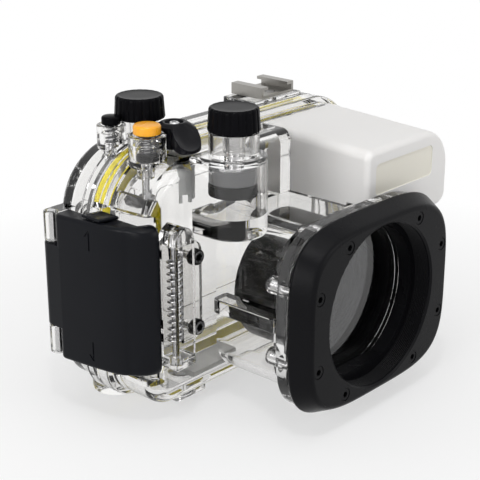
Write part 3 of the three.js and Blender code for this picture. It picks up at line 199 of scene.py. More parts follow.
def turn(profile, axis="z", at=(0, 0, 0), n=64):
    """A turned body: (radius, height) pairs, closed on the axis or on themselves."""
    verts, faces, m = [], [], len(profile)
    for i in range(n):
        c, s = math.cos(2 * math.pi * i / n), math.sin(2 * math.pi * i / n)
        for r, h in profile:
            p = {"z": (r * c, r * s, h), "y": (r * c, h, -r * s)}[axis]
            verts.append((p[0] + at[0], p[1] + at[1], p[2] + at[2]))
    for i in range(n):
        k = (i + 1) % n
        for j in range(m - 1):
            if profile[j][0] < 1e-6 and profile[j + 1][0] < 1e-6:
                continue
            faces.append((i * m + j, k * m + j, k * m + j + 1, i * m + j + 1))
    return mesh_from(verts, faces)


def side(r, h0, h1, edge=0.0, steps=3):
    """The outer profile of a bar, rounded at both ends."""
    return [(r - d, h) for h, d in round_levels(h0, h1, edge, steps)]


def rod(r, h0, h1, axis="z", at=(0, 0, 0), n=48, edge=0.0):
    return turn(tidy([(0, h0)] + side(r, h0, h1, edge) + [(0, h1)]), axis, at, n)


def tube(r0, r1, h0, h1, axis="z", at=(0, 0, 0), n=64, edge=0.0):
    return turn([(r0, h0)] + side(r1, h0, h1, edge) + [(r0, h1), (r0, h0)], axis, at, n)


def post(x, y, r, z0, z1, n=48, edge=0.0):
    return rod(r, z0, z1, "z", (x, y, 0), n, edge)


def bar(x, z, r, y0, y1, n=48, edge=0.0):
    return rod(r, y0, y1, "y", (x, 0, z), n, edge)


def block(x0, x1, y0, y1, z0, z1, edge=0.0):
    return prism(box(x0, x1, y0, y1), z0, z1, "z", edge, 3)


def oval(sections):
    """A body whose sections are circles pressed towards a square: (y, half width, half height)."""
    unit, n = [], 160
    for i in range(n):
        c, s = math.cos(2 * math.pi * i / n), math.sin(2 * math.pi * i / n)
        k = (c ** 4 + s ** 4) ** -0.25
        unit.append((c * k, s * k))
    return loft([[(w * u, y, h * v) for u, v in unit] for y, w, h in sections])


def flat(parts):
    out = []
    for p in parts:
        out += flat(p) if isinstance(p, (list, tuple)) else [p]
    return out


def combine(base, others, operation):
    """One body from several, by exact set operations on closed meshes. The others are used up."""
    group = bpy.data.collections.new("group")
    bpy.context.scene.collection.children.link(group)
    for o in others:
        group.objects.link(o)
    m = base.modifiers.new("b", "BOOLEAN")
    m.operation, m.solver, m.operand_type, m.collection = operation, "MANIFOLD", "COLLECTION", group
    bpy.context.view_layer.update()
    mesh = bpy.data.meshes.new_from_object(base.evaluated_get(bpy.context.evaluated_depsgraph_get()))
    base.modifiers.clear()
    old, base.data = base.data, mesh
    bpy.data.meshes.remove(old)
    for o in others:
        data = o.data
        bpy.data.objects.remove(o)
        bpy.data.meshes.remove(data)
    bpy.data.collections.remove(group)
    return base


def join(*parts):
    parts = flat(parts)
    return combine(parts[0], parts[1:], "UNION") if len(parts) > 1 else parts[0]


def cut(base, *parts):
    return combine(base, flat(parts), "DIFFERENCE")


def common(a, b):
    return combine(a, [b], "INTERSECT")


def shade(o, angle=32):
    """Smooth faces, with a sharp edge wherever two of them meet at more than the angle."""
    bm = bmesh.new()
    bm.from_mesh(o.data)
    limit = math.radians(angle)
    for f in bm.faces:
        f.smooth = True
    for e in bm.edges:
        e.smooth = len(e.link_faces) == 2 and e.calc_face_angle(0) < limit
    bm.to_mesh(o.data)
    bm.free()
    w = o.modifiers.new("normals", "WEIGHTED_NORMAL")
    w.keep_sharp, w.weight = True, 60


def piece(o, name, body, look, *replaced, angle=32, also=(), where=None):
    """Names a finished body, moves it into the frame and lets it ride.

    where() picks the faces that take a second look.
    """
    picks = [where(f.center) if where else 0 for f in o.data.polygons]
    o.data.materials.clear()
    for m in (look, *also):
        o.data.materials.append(m)
    for f, k in zip(o.data.polygons, picks):
        f.material_index = int(k)
    o.data.transform(TO_FRAME)
    o.name = o.data.name = name
    bm = bmesh.new()
    bm.from_mesh(o.data)
    bmesh.ops.dissolve_degenerate(bm, edges=bm.edges, dist=1e-7)
    bm.to_mesh(o.data)
    bm.free()
    shade(o, angle)
    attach(o, body)
    if replaced:
        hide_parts(*replaced)
    return o


# Materials

MIX_A, MIX_B, MIX_RESULT = 6, 7, 2      # the colour sockets of Blender's Mix node
BUMP_HEIGHT = 0.0002                    # in metres


def material(name, colour, rough, metal=0.0, noise=0.05, scale=60.0, bump=0.0, bump_scale=900.0,
             stretch=(1, 1, 1), tint=0.05, **more):
    """A surface whose colour varies by tint and its roughness by noise, in clouds, under a grain of bumps.

    Scales count per metre, and more holds other sockets of the shader.
    """
    m = bpy.data.materials.new(name)
    m.use_nodes = True
    tree = m.node_tree
    shader = tree.nodes["Principled BSDF"]
    for key, value in dict(more, Metallic=metal, Roughness=rough).items():
        shader.inputs[key.replace("_", " ")].default_value = value
    place = tree.nodes.new("ShaderNodeTexCoord")
    mapping = tree.nodes.new("ShaderNodeMapping")
    mapping.inputs["Scale"].default_value = stretch
    tree.links.new(place.outputs["Object"], mapping.inputs["Vector"])

    def cloud(size, detail):
        n = tree.nodes.new("ShaderNodeTexNoise")
        n.inputs["Scale"].default_value = size
        n.inputs["Detail"].default_value = detail
        tree.links.new(mapping.outputs["Vector"], n.inputs["Vector"])
        return n.outputs["Fac"]

    blotch = cloud(scale, 4.0)
    mix = tree.nodes.new("ShaderNodeMix")
    mix.data_type = "RGBA"
    mix.inputs[MIX_A].default_value = (*[c * (1 - tint) for c in colour], 1)
    mix.inputs[MIX_B].default_value = (*[min(1, c * (1 + tint)) for c in colour], 1)
    tree.links.new(blotch, mix.inputs[0])
    tree.links.new(mix.outputs[MIX_RESULT], shader.inputs["Base Color"])
    ramp = tree.nodes.new("ShaderNodeMapRange")
    ramp.inputs["To Min"].default_value = max(0, rough - noise)
    ramp.inputs["To Max"].default_value = rough + noise
    tree.links.new(blotch, ramp.inputs["Value"])
    tree.links.new(ramp.outputs["Result"], shader.inputs["Roughness"])
    if bump:
        grain = tree.nodes.new("ShaderNodeBump")
        grain.inputs["Strength"].default_value = bump
        grain.inputs["Distance"].default_value = BUMP_HEIGHT
        tree.links.new(cloud(bump_scale, 2.0), grain.inputs["Height"])
        tree.links.new(grain.outputs["Normal"], shader.inputs["Normal"])
    return m


CLEAR = material("clear_plastic", (0.942, 0.938, 0.93), 0.03, noise=0.02, scale=35, bump=0.05, bump_scale=45,
                 tint=0.015, Transmission_Weight=1.0, IOR=1.46)
GLASS = material("port_glass", (0.7, 0.71, 0.73), 0.01, noise=0.005, scale=25, tint=0.01,
                 Transmission_Weight=1.0, IOR=1.52)
FROST = material("frosted_plastic", (0.72, 0.73, 0.73), 0.3, bump=0.05, bump_scale=700, tint=0.03,
                 Transmission_Weight=0.45, IOR=1.5)
PAD = material("silicone_pad", (0.8, 0.8, 0.78), 0.35, bump=0.1, tint=0.03, Transmission_Weight=0.8, IOR=1.42)
GREY = material("grey_plastic", (0.24, 0.243, 0.25), 0.25, scale=90, bump=0.1,
                Transmission_Weight=0.5, IOR=1.48)

SATIN = material("latch_plastic", (0.0045, 0.005, 0.007), 0.3, scale=50, bump=0.25, bump_scale=2600, tint=0.15,
                 Specular_IOR_Level=0.11)
RING = material("black_anodised", (0.005, 0.005, 0.006), 0.28, scale=40, bump=0.3, bump_scale=3200, tint=0.15,
                Specular_IOR_Level=0.07)
LEVER_BLACK = material("lever_plastic", (0.006, 0.006, 0.008), 0.3, scale=80, bump=0.2, bump_scale=2600,
                       tint=0.15, Specular_IOR_Level=0.09)
KNOB = material("knob_plastic", (0.004, 0.004, 0.005), 0.14, noise=0.04, scale=90, bump=0.1, bump_scale=2400,
                tint=0.2, Specular_IOR_Level=0.025)
DARK = material("shroud_plastic", (0.004, 0.004, 0.004), 0.3, scale=70, bump=0.2, tint=0.2,
                Specular_IOR_Level=0.08)
RUBBER = material("black_rubber", (0.005, 0.005, 0.005), 0.5, noise=0.08, scale=120, bump=0.3, bump_scale=1800,
                  tint=0.2, Specular_IOR_Level=0.06)

YELLOW = material("yellow_rubber", (0.98, 0.8, 0.01), 0.5, bump=0.15, bump_scale=1200, Specular_IOR_Level=0.2,
                  Subsurface_Weight=0.1, Subsurface_Radius=(1, 0.9, 0.3), Subsurface_Scale=0.002)
ORANGE = material("orange_plastic", (0.95, 0.41, 0.012), 0.28, bump=0.1, bump_scale=1500, tint=0.06,
                  Subsurface_Weight=0.1, Subsurface_Radius=(1, 0.6, 0.2), Subsurface_Scale=0.002)
MILKY = material("milky_plastic", (0.83, 0.815, 0.8), 0.36, scale=30, bump=0.05, bump_scale=500, tint=0.012,
                 Subsurface_Weight=0.3, Subsurface_Radius=(1, 0.95, 0.9), Subsurface_Scale=0.004)
CREAM = material("cream_plastic", (0.82, 0.79, 0.7), 0.42, scale=30, bump=0.08, tint=0.02,
                 Subsurface_Weight=0.2, Subsurface_Radius=(1, 0.95, 0.9), Subsurface_Scale=0.003)

STEEL = material("stainless_steel", (0.56, 0.56, 0.57), 0.24, metal=1.0, noise=0.08, scale=200, bump=0.12,
                 stretch=(1, 1, 8), tint=0.06)
SPRING = material("spring_steel", (0.07, 0.07, 0.075), 0.3, metal=1.0, noise=0.08, scale=200, bump=0.1,
                  tint=0.1)
SHOE = material("shoe_metal", (0.33, 0.32, 0.3), 0.34, metal=1.0, noise=0.08, scale=120, bump=0.1,
                bump_scale=1200, stretch=(1, 8, 1), tint=0.08)

# The CAD nodes that stay as they are; pins, shafts, the rod, the insert and the shoe's screws are steel.
NODE_LOOKS = {"zoom_fork": FROST, "camera_pad_1": PAD, "camera_pad_2": PAD, "accessory_shoe": SHOE,
              "back_dial": KNOB}
for name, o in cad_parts.items():
    o.data.materials.clear()
    o.data.materials.append(NODE_LOOKS.get(name, STEEL))
    shade(o, 40)


# Port

PORT_SCREWS = [(h * x, v * z) for h, v in ((1, 1), (1, -1), (-1, -1), (-1, 1))
               for x, z in ((22.9, 30.6), (40.1, 14.9))]
SCREW_HOLE, HEAD_HOLE = 1.7, 2.7
RING_DEEP, RING_HALF_WIDTH, RING_HALF_HEIGHT = 9.8, 45.3, 36.8
FLARE, FLARE_START, FLARE_LENGTH = 3, 1.6, 6.6
THREAD_R, THREAD_PITCH, THREAD_TURNS, THREAD_END = 33.5, 0.75, 9, 8.5
SPIGOT_R = 31.8         # the ring's back end, the glass, the gasket and the lens tube's flange
TUBE_R, TUBE_BACK, TUBE_Z = 24, 55, -2
RIB_PITCH, RIB_HIGH, RIBS = 2.2, 0.7, 14


def port_ring():
    """The squared ring: it flares towards the back, and has a thread inside its front edge."""
    sections = []
    for y, d in round_levels(0, RING_DEEP, 2.2, 7):
        flare = FLARE * min(max((y - FLARE_START) / FLARE_LENGTH, 0), 1)
        d = d if y < RING_DEEP / 2 else d * 0.6
        sections.append((y, RING_HALF_WIDTH + flare - d, RING_HALF_HEIGHT + flare - d))
    thread = [(0, -1), (34.6, -1), (34.4, 0.05), (33.6, 0.7)]
    for i in range(THREAD_TURNS):
        thread += [(THREAD_R, 1.2 + THREAD_PITCH * i), (THREAD_R + 0.35, 1.5 + THREAD_PITCH * i),
                   (THREAD_R, 1.8 + THREAD_PITCH * i)]
    bore = turn(tidy(thread + [(THREAD_R, THREAD_END), (0, THREAD_END)]), "y", n=96)
    window = common(bar(0, 0, 31.2, -1, 16, 96), block(-32, 32, -2, 17, -28.5, 28.5))
    holes = [[bar(x, z, HEAD_HOLE, -1, 2.9, 32), bar(x, z, SCREW_HOLE, 2, 11, 16)] for x, z in PORT_SCREWS]
    o = join(oval(sections), bar(0, 0, SPIGOT_R, 8.8, 14.7, 96))
    piece(cut(o, bore, window, holes), "ring_body", "housing", RING, "port_ring")


def port_screw(i, x, z):
    """A screw whose head lies flush in the ring, with a hexagon socket."""
    shank, core, pitch, head_back = 1.4, 1.22, 0.65, 2.6
    profile = [(0, 0.2), (2.45, 0.2), (2.58, 0.32), (2.6, 0.6), (2.6, head_back), (shank, head_back)]
    for k in range(30):
        profile += [(shank, 3 + pitch * k), (core, 3.3 + pitch * k)]
    o = turn(tidy(profile + [(shank, 22.8), (1, 23.5), (0, 23.5)]), "y", (x, 0, z), 32)
    o = cut(o, bar(x, z, 1.35, 0, 2.2, 6))
    piece(o, f"ring_screw_{i}", "housing", RING, f"port_screw_{i}", also=(STEEL,),
          where=lambda c: c.y > head_back - 0.05)


def port_inside():
    glass = rod(SPIGOT_R, 15, 19, "y", n=96, edge=0.35)
    piece(glass, "window_glass", "housing", GLASS, "port_glass", also=(RUBBER,),
          where=lambda c: math.hypot(c.x, c.z) > SPIGOT_R - 0.5)
    gasket = tube(29.6, SPIGOT_R, 19.3, 21.1, "y", n=96, edge=0.3)
    piece(gasket, "window_gasket", "housing", RUBBER, "port_glass_gasket")
    inner = [(TUBE_R, TUBE_BACK)]
    for k in range(RIBS):
        top, foot = TUBE_R, TUBE_R + RIB_HIGH
        inner += [(top, 53.5 - RIB_PITCH * k), (foot, 53.1 - RIB_PITCH * k), (foot, 52 - RIB_PITCH * k),
                  (top, 51.7 - RIB_PITCH * k)]
    profile = side(26, 21.8, TUBE_BACK, 0.5) + inner + [(TUBE_R, 21.8), (25.5, 21.8)]
    body = turn(profile, "y", (0, 0, TUBE_Z), 96)
    flange = cut(rod(SPIGOT_R, 21.7, 23.5, "y", n=96, edge=0.3), rod(25, 21, 24, "y", (0, 0, TUBE_Z), 96))
    piece(join(body, flange), "lens_tube", "housing", DARK, "lens_shroud")


def port_tube():
    """The clear tunnel behind the ring, its flange with eight screw posts, and the fin at its side."""
    tunnel = prism(rounded(-36.8, 36.8, -36, 33.7, 17), 13.2, 58, "y")
    flange = oval([(y, 47.1 - d, 38.6 - d) for y, d in round_levels(10.1, 16.2, 0.8, 4)])
    fin = prism(rounded(-45.2, -35.3, 18, 51, 1, 3), -3, 3, "z", 0.7)
    return [tunnel, flange, fin] + [bar(x, z, 3.6, 15.2, 24.5, 32, 1.1) for x, z in PORT_SCREWS]


def port_bores():
    room = prism(rounded(-33.8, 33.8, -33, 27.6, 14), 26.8, 61, "y")
    holes = [bar(x, z, SCREW_HOLE, 9, 23.8, 16) for x, z in PORT_SCREWS]
    return [bar(0, 0, SPIGOT_R + GAP, 9, 23.8, 96), bar(0, 0, 28.3, 22.8, 27.8, 96), room] + holes


# Buttons. base is where the case's face is and rise how far above it the collar's floor lies. collar is the
# collar's height, and proud is how far the cap stands out of it. cap is the cap's radius, high its height and
# travel its stroke. guide and reach are how deep the guide and the stem go below the floor. lift is how far
# the coil stands above the floor, and turns are its turns.

SHUTTER = dict(x=-57, y=72.6, base=60, rise=-2, collar=10.2, proud=4.4, cap=5.4, high=4, travel=3, reach=16,
               guide=8, lift=2.7, turns=5)
PLAYBACK = dict(x=-56.4, y=93.4, base=60, rise=1, collar=7.6, proud=3.6, cap=3.8, high=3.6, travel=2.4,
                reach=17, guide=8, lift=0, turns=4)
POWER = dict(x=-6, y=75, base=60, rise=-1, collar=7.4, proud=3.2, cap=4.6, high=3.2, travel=2.4, reach=14,
             guide=8, lift=0, turns=4)
KEY = dict(base=105.5, rise=-3.1, collar=6.2, proud=2.4, cap=3.8, high=2.6, travel=2.2, reach=9.8,
           guide=4.5, lift=0, turns=4)
KEYS = [(CASE_X[0] + (CASE_X[1] - CASE_X[0]) * a, CASE_Z[0] + (CASE_Z[1] - CASE_Z[0]) * b)
        for a, b in ((0.099, 0.687), (0.243, 0.697), (0.089, 0.182), (0.25, 0.192))]
STEM_R, STEM_HOLE, GUIDE_R, COLLAR_WALL = 1.5, 1.8, 3.5, 2
FOOT_R, FOOT_HIGH, CHAMFER = 2.6, 1.4, 0.3
LEDGE = 0.6             # how much narrower than the cap its coil's pocket is
UNDER = 0.8             # what is left under a cap when it is pressed
COIL_WIRE, COIL_STEPS, COIL_SIDES = 0.6, 24, 10
CATCH_COIL = dict(r=2.5, wire=0.9, low=-8.7, high=25.3, turns=13, at=(-64.75, 51.05, 0))

Levels = namedtuple("Levels", "floor rim top bottom shoulder guide foot")


def levels(b):
    floor = b["base"] + b["rise"]
    rim = floor + b["collar"]
    top = rim + b["proud"]
    bottom = top - b["high"]
    shoulder = bottom - b["travel"] - UNDER
    return Levels(floor, rim, top, bottom, shoulder, floor - b["guide"], floor - b["reach"])


def top_at(b):
    return (b["x"], b["y"], 0)


def seat(b, at, axis="z"):
    """The collar and the guide of a button, as parts of the case."""
    v = levels(b)
    return [rod(b["cap"] + COLLAR_WALL, v.floor - 2, v.rim, axis, at, 48, 0.5),
            rod(GUIDE_R, v.guide, v.floor, axis, at, 24, 0.3)]


def pockets(b, at, axis="z"):
    """The room for a button's cap, coil and stem."""
    v = levels(b)
    return [rod(b["cap"] + GAP, v.shoulder, v.rim + OVER, axis, at, 48),
            rod(b["cap"] - LEDGE, v.floor, v.shoulder + OVER, axis, at, 48),
            rod(STEM_HOLE, v.guide - OVER, v.floor + OVER, axis, at, 24)]


def button(b, name, body, look, node, at, axis="z"):
    """A cap with a soft rim on a steel stem, whose foot holds it in the case."""
    v, r, edge, dome = levels(b), b["cap"], b["high"] / 4, 0.25
    foot = [(0, v.foot), (FOOT_R - CHAMFER, v.foot), (FOOT_R, v.foot + CHAMFER), (FOOT_R, v.foot + FOOT_HIGH),
            (STEM_R, v.foot + FOOT_HIGH)]
    cap = [(STEM_R, v.bottom), (r - CHAMFER, v.bottom), (r, v.bottom + CHAMFER)]
    cap += [(r - edge * (1 - math.cos(t)), v.top - dome - edge * (1 - math.sin(t))) for t in quarter(5)]
    o = turn(tidy(foot + cap + [(r * 0.5, v.top - 0.06), (0, v.top)]), axis, at, 48)
    along = "xyz".index(axis)
    piece(o, name, body, look, node, also=(STEEL,), where=lambda c: c[along] < v.bottom - 0.01)


def coil(name, node, body, r, wire, low, high, turns, at, axis="z", press=None, travel=0, look=SPRING):
    """A round wire wound with closed ends."""
    closed, rings = 1.04 * wire, []
    pitch = (high - low - wire - 2 * closed) / (turns - 2)
    for i in range(turns * COIL_STEPS + 1):
        t = i / COIL_STEPS
        first, between, last = min(t, 1), min(max(t - 1, 0), turns - 2), max(t - turns + 1, 0)
        h = low + wire / 2 + closed * first + pitch * between + closed * last
        a = 2 * math.pi * t
        ring = []
        for k in range(COIL_SIDES):
            b = 2 * math.pi * k / COIL_SIDES
            q = r + wire / 2 * math.cos(b)
            put = PLACES[axis]((q * math.cos(a), q * math.sin(a)), h + wire / 2 * math.sin(b))
            ring.append(tuple(c + d for c, d in zip(put, at)))
        rings.append(ring)
    o = piece(loft(rings), name, body, look, node, angle=60)
    if press:
        along = PLACES[axis]((0, 0), 1)
        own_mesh(o)


def button_coil(b, name, node, body, joint, at, axis="z"):
    v, r = levels(b), (STEM_R + b["cap"] - LEDGE) / 2
    low, high = v.floor + GAP + b["lift"], v.bottom - GAP
    coil(name, node, body, r, COIL_WIRE, low, high, b["turns"], at, axis, joint, b["travel"])


# Dials and zoom lever

FLUTES, FLUTE_DEPTH, KNOB_POINTS = 20, 0.5, 240
KNOB_R, KNOB_EDGE = 9.7, 1.1
KNOB_SKIRT = [(-9.2, 9.7), (-8.95, 10.1), (-8.6, 10.2), (-6.5, 10.05), (-4.4, 9.9), (-2.6, 9.78), (-1.2, 9.7)]
KNOB_TOP = [(-0.05, 8.2), (-0.2, 7.6), (-0.22, 4.0)]


def knob(x, y, top, name, body, node):
    """A black cap with shallow flutes that run out over its rounded rim and above its lower edge."""
    rim = [(-KNOB_EDGE * (1 - math.sin(t)), KNOB_R - KNOB_EDGE * (1 - math.cos(t))) for t in quarter(6, 1)]
    rings = []
    for h, r in KNOB_SKIRT + rim + KNOB_TOP:
        depth = FLUTE_DEPTH if h < -0.9 else FLUTE_DEPTH * max(0, (r - 8.4) / 1.3)
        depth *= min(1, max(0, (h + 9.1) / 0.6))
        ring = []
        for i in range(KNOB_POINTS):
            a = 2 * math.pi * i / KNOB_POINTS
            q = r - depth * max(0, math.cos(FLUTES * a)) ** 1.5
            ring.append((x + q * math.cos(a), y + q * math.sin(a), top + h))
        rings.append(ring)
    o = cut(loft(rings), post(x, y, SHAFT_HOLE, top - 10, top - 4.4, 24))
    piece(o, name, body, KNOB, node, angle=50)


def rollers():
    x, y = FRONT_DIAL
    nut = cut(post(x, y, 8.0, 56.4, 58.2, 6, 0.2), post(x, y, SHAFT_HOLE, 56, 59, 24))
    hub_top = 56.6
    hub = join(tube(SHAFT_HOLE, 8.9, 50.6, hub_top, "z", (x, y, 0), 96, 0.5), nut)
    piece(hub, "front_dial_nut", "front_dial", GREY, "front_dial_hub", also=(STEEL,),
          where=lambda c: c.z > hub_top + 0.05)
    tyres = (("front_dial_tyre", "front_dial", "front_dial_roller", FRONT_DIAL, 9.1, 45.7),
             ("mode_tyre", "mode_dial", "mode_roller", MODE_DIAL, 6.8, 44.6))
    for name, body, node, at, r, low in tyres:
        high = low + 4.6
        profile = [(SHAFT_HOLE, low)] + side(r, low, high, 0.5) + [(SHAFT_HOLE, high), (SHAFT_HOLE, low)]
        piece(turn(profile, "z", (*at, 0), 64), name, body, RUBBER, node)


# Zoom lever: angle about its shaft in degrees, reach, height of the lip
LEVER = [(-180, 7, 69.4), (-146, 7, 69.4), (-138, 9, 68.2), (-132, 15.2, 66.4), (-127, 17.8, 64.6),
         (-119, 18.6, 63.2), (-110, 18.2, 63), (-102, 17.2, 63.4), (-94, 15.7, 64.5), (-86, 13.6, 66),
         (-76, 11.2, 67.4), (-64, 9.3, 68.5), (-48, 7.8, 69.2), (-30, 7, 69.4), (180, 7, 69.4)]
LEVER_TOP, LEVER_LOW, LEVER_POINTS, LEVER_HUB_R = 70.4, 60.7, 240, 7
SLOPE_STEPS = (1, 0.93, 0.85, 0.75, 0.65, 0.55, 0.45, 0.35, 0.25, 0.15, 0.07)


def lever_at(a):
    a = min(180, max(-180, a))
    for (a0, r0, z0), (a1, r1, z1) in zip(LEVER, LEVER[1:]):
        if a <= a1:
            t = (a - a0) / (a1 - a0)
            return r0 + (r1 - r0) * t, z0 + (z1 - z0) * t


def zoom_lever():
    """A hub whose top runs down into a scooped thumb pad with a ribbed outer wall."""
    x, y = ZOOM
    top, edge = LEVER_TOP, []
    for i in range(LEVER_POINTS):
        a = -180 + 360 * i / LEVER_POINTS
        near = [lever_at(a + d) for d in (-3, -1.5, 0, 1.5, 3)]
        edge.append((math.radians(a), sum(p[0] for p in near) / 5, sum(p[1] for p in near) / 5))

    def ring(reach, height):
        out = []
        for t, r, z in edge:
            q = reach(r, t) if callable(reach) else reach
            h = height(r, z) if callable(height) else height
            out.append((x + q * math.cos(t), y + q * math.sin(t), h))
        return out

    def ribs(depth):
        return lambda r, t: r - depth * (r > 12) * max(0, math.cos(72 * t)) - 0.02

    def low(r, z):
        return LEVER_LOW + 1.1 * min(1, max(0, (r - 8) / 2))

    def wall(k):
        return lambda r, z: low(r, z) + 0.6 + (z - 1.1 - low(r, z)) * k

    def slope(k):
        def height(r, z):
            w = min(1, max(0, (r - LEVER_HUB_R) / 5))
            return top - (top - z) * ((1 - w) * k * k + w * (1 - (1 - k) ** 1.6))
        return height

    rings = [ring(2, 66), ring(6, 66), ring(6, low), ring(lambda r, t: r - 0.4, low)]
    rings += [ring(ribs(0.2), lambda r, z: low(r, z) + 0.4)]
    rings += [ring(ribs(0.45), wall(k)) for k in (0, 0.5, 1)]
    rings += [ring(lambda r, t: r - 0.06, lambda r, z: z - 0.3)]
    rings += [ring(lambda r, t: r - 0.3, lambda r, z: z - 0.06)]
    rings += [ring(lambda r, t, k=k: 4.6 + (r - 5.2) * k, slope(k)) for k in SLOPE_STEPS]
    rings += [ring(q, top - d) for q, d in ((4.6, 0), (4.1, 0.02), (3.75, 0.25), (3.5, 1), (1.8, 1))]
    o = cut(loft(rings), post(x, y, 1.4, 65, 70, 16))
    piece(o, "zoom_thumb_lever", "zoom", LEVER_BLACK, "zoom_lever", angle=38)

    screw = [(0, 64.1), (1.1, 64.1), (1.1, 69.5), (2.1, 69.5), (2.1, 69.85), (1.6, 70.2), (0, 70.25)]
    long, short = 1.3, 0.28
    slots = [block(x - a, x + a, y - b, y + b, 69.7, 71) for a, b in ((long, short), (short, long))]
    piece(cut(turn(screw, "z", (x, y, 0), 32), slots), "zoom_cross_screw", "zoom", STEEL, "zoom_lever_screw")


# Case

def tower(r, back):
    """The outline of the housing round the front dial, open towards the case."""
    x, y = FRONT_DIAL
    return [(x - r, back)] + arc(x, y, r, 2 * RIGHT, 4 * RIGHT, 32) + [(x + r, back)]


def knuckle(low, high, front):
    y0, y1 = (79.8, SEAM) if front else (DOOR_FRONT, 88.7)
    return [post(*HINGE, 3.6, low, high, 40, 0.5), block(76, HINGE[0], y0, y1, low, high, 0.4)]


def latch_relief():
    """What the front half leaves free, so that the latch's claw can pass it as the door swings."""
    r = math.dist(HINGE, CLAW) - 0.5
    ys = [-31.65 + 32.4 * i / 16 for i in range(17)]
    points = [(HINGE[0] - math.sqrt(r * r - y * y), HINGE[1] + y) for y in ys] + [(-78.5, 85), (-78.5, 52.6)]
    return prism(list(reversed(points)), LATCH_LOW - 3, LATCH_HIGH + 3)


def seal_groove():
    outer = prism(case(SEAL_OUTSIDE - GAP), GROOVE_FRONT, SEAM + OVER, "y")
    return cut(outer, prism(case(SEAL_INSIDE + GAP), GROOVE_FRONT - OVER, SEAM + 2 * OVER, "y"))


def foot(x, y):
    profile = [(0, -46), (6, -46), (8.4, -45.6), (9.6, -44.7), (10, -43.2), (10, -38), (0, -38)]
    return turn(profile, "z", (x, y, 0), 64)


def front_shell():
    """The hollow front half, with the tunnel, the tripod boss, a foot, and the step under the flash hood."""
    rim = prism(case(-RIM_PROUD), RIM_FRONT, SEAM, "y", 0.7, 4)
    body = join(prism(case(), CASE_FRONT, SEAM, "y", 4.5, 7, end=False), rim)
    bay = prism(case(WALL), CASE_FRONT + WALL, RIM_FRONT, "y", 2.5, 5, end=False)
    latch_wall, step_wall = block(-76, -65, 55, 84, -29, 46), block(4.8, 78, 55, 75.2, 26.6, 61)
    room = join(cut(bay, latch_wall, step_wall), prism(case(RIM_OPENING), RIM_FRONT - OVER, SEAM + OVER, "y"))
    boss = prism(rounded(-51, -33.4, 65, 82, 1.4), -46, -38, "z", 0.6, 3, end=False)
    shell = join(body, port_tube(), boss, foot(58, 66))
    step = block(8.8, 154, 26.8, 71.2, 30.6, 120)
    return cut(shell, step, latch_relief(), room)


def front_case():
    shell = front_shell()
    parts = [prism(tower(13, 57), 30, 61.4, "z", 1.2, 5), post(*FRONT_DIAL, 9.8, 60.4, 70.5, 64, 0.4),
             post(*ZOOM, 5.6, 56, 65.7, 48, 0.4)]
    holes = [prism(tower(10.1, 61), 38, 58.5), post(*FRONT_DIAL, SHAFT_HOLE, 57.5, 81, 32),
             tube(4.4, 8.2, 62.6, 81, "z", (*FRONT_DIAL, 0), 64), post(*ZOOM, SHAFT_HOLE, 52, 67, 24),
             post(*HINGE, PIN_HOLE, *CASE_Z, 24), post(*TRIPOD, 5.7, -47, -38.8, 48)]
    holes += [bar(CATCH_SCREW_X, z, PIN_HOLE, 55, 59.7, 24) for z in CATCH_SCREW_ZS]
    for b in (SHUTTER, POWER):
        parts += seat(b, top_at(b))
        holes += pockets(b, top_at(b))
    parts += knuckle(12.5, 26.5, True) + knuckle(-26.5, -12.5, True)
    o = cut(join(shell, parts), seal_groove(), port_bores(), holes)
    piece(o, "clear_front", "housing", CLEAR, "front_case", "port_tube", "dial_tower", "tripod_boss")


def rear_case():
    rim = prism(case(-RIM_PROUD), DOOR_FRONT, RIM_BACK, "y", 0.7, 4)
    body = join(prism(case(), DOOR_FRONT, CASE_BACK, "y", 3.5, 6, start=False), rim)
    bay = prism(case(WALL), RIM_BACK, CASE_BACK - WALL, "y", 2, 4, start=False)
    room = join(prism(case(RIM_OPENING), 83, 91, "y"), bay)
    feet = [cut(foot(x, 94), block(x - 11, x + 11, 80, DOOR_FRONT, -47, -37)) for x in (-58, 60)]
    shell = cut(join(body, feet), room)
    x, y = LATCH_AXIS
    lugs = []
    for low, high in ((26.5, 38.5), (-21.5, -9.5)):
        lugs += [post(x, y, 3.5, low, high, 40, 0.6), block(x, -74, 95.9, 102.9, low, high, 0.5)]
    shoe_block, dial_collar = block(21, 52, 86.3, 104.7, 59, 64, 0.5), post(*MODE_DIAL, 7.4, 56, 68.5, 64, 0.4)
    wheel_boss = bar(*WHEEL, 4.6, 97.5, CASE_BACK, 32)
    window = prism(rounded(-22, 58, -26, 32, 4), 104.5, 106.7, "y", 0.6, 3, start=False)
    parts = [shoe_block, dial_collar, wheel_boss] + seat(PLAYBACK, top_at(PLAYBACK)) + lugs
    parts += knuckle(-12, 12, False) + [window]
    holes = [post(*MODE_DIAL, SHAFT_HOLE, 48, 78, 32), post(*HINGE, PIN_HOLE, *CASE_Z, 24),
             post(x, y, PIN_HOLE, LATCH_LOW, LATCH_HIGH, 24), bar(*WHEEL, SHAFT_HOLE, 89.5, 106.5, 24),
             tube(4.2, 6.1, 61.5, 81, "z", (*MODE_DIAL, 0), 64)]
    holes += [post(36.5, y, 1.4, 60, 65, 16) for y in (91.05, 99.95)] + pockets(PLAYBACK, top_at(PLAYBACK))
    for x, z in KEYS:
        parts += seat(KEY, (x, 0, z), "y")
        holes += pockets(KEY, (x, 0, z), "y")
    piece(cut(join(shell, parts), holes), "clear_door", "door", CLEAR, "rear_case")


def main_seal():
    outer = prism(case(SEAL_OUTSIDE), SEAL_FRONT, SEAL_BACK, "y", 0.8, 4)
    inner = prism(case(SEAL_INSIDE), SEAL_FRONT - OVER, SEAL_BACK + OVER, "y")
    piece(cut(outer, inner), "yellow_seal", "housing", YELLOW, "main_seal")


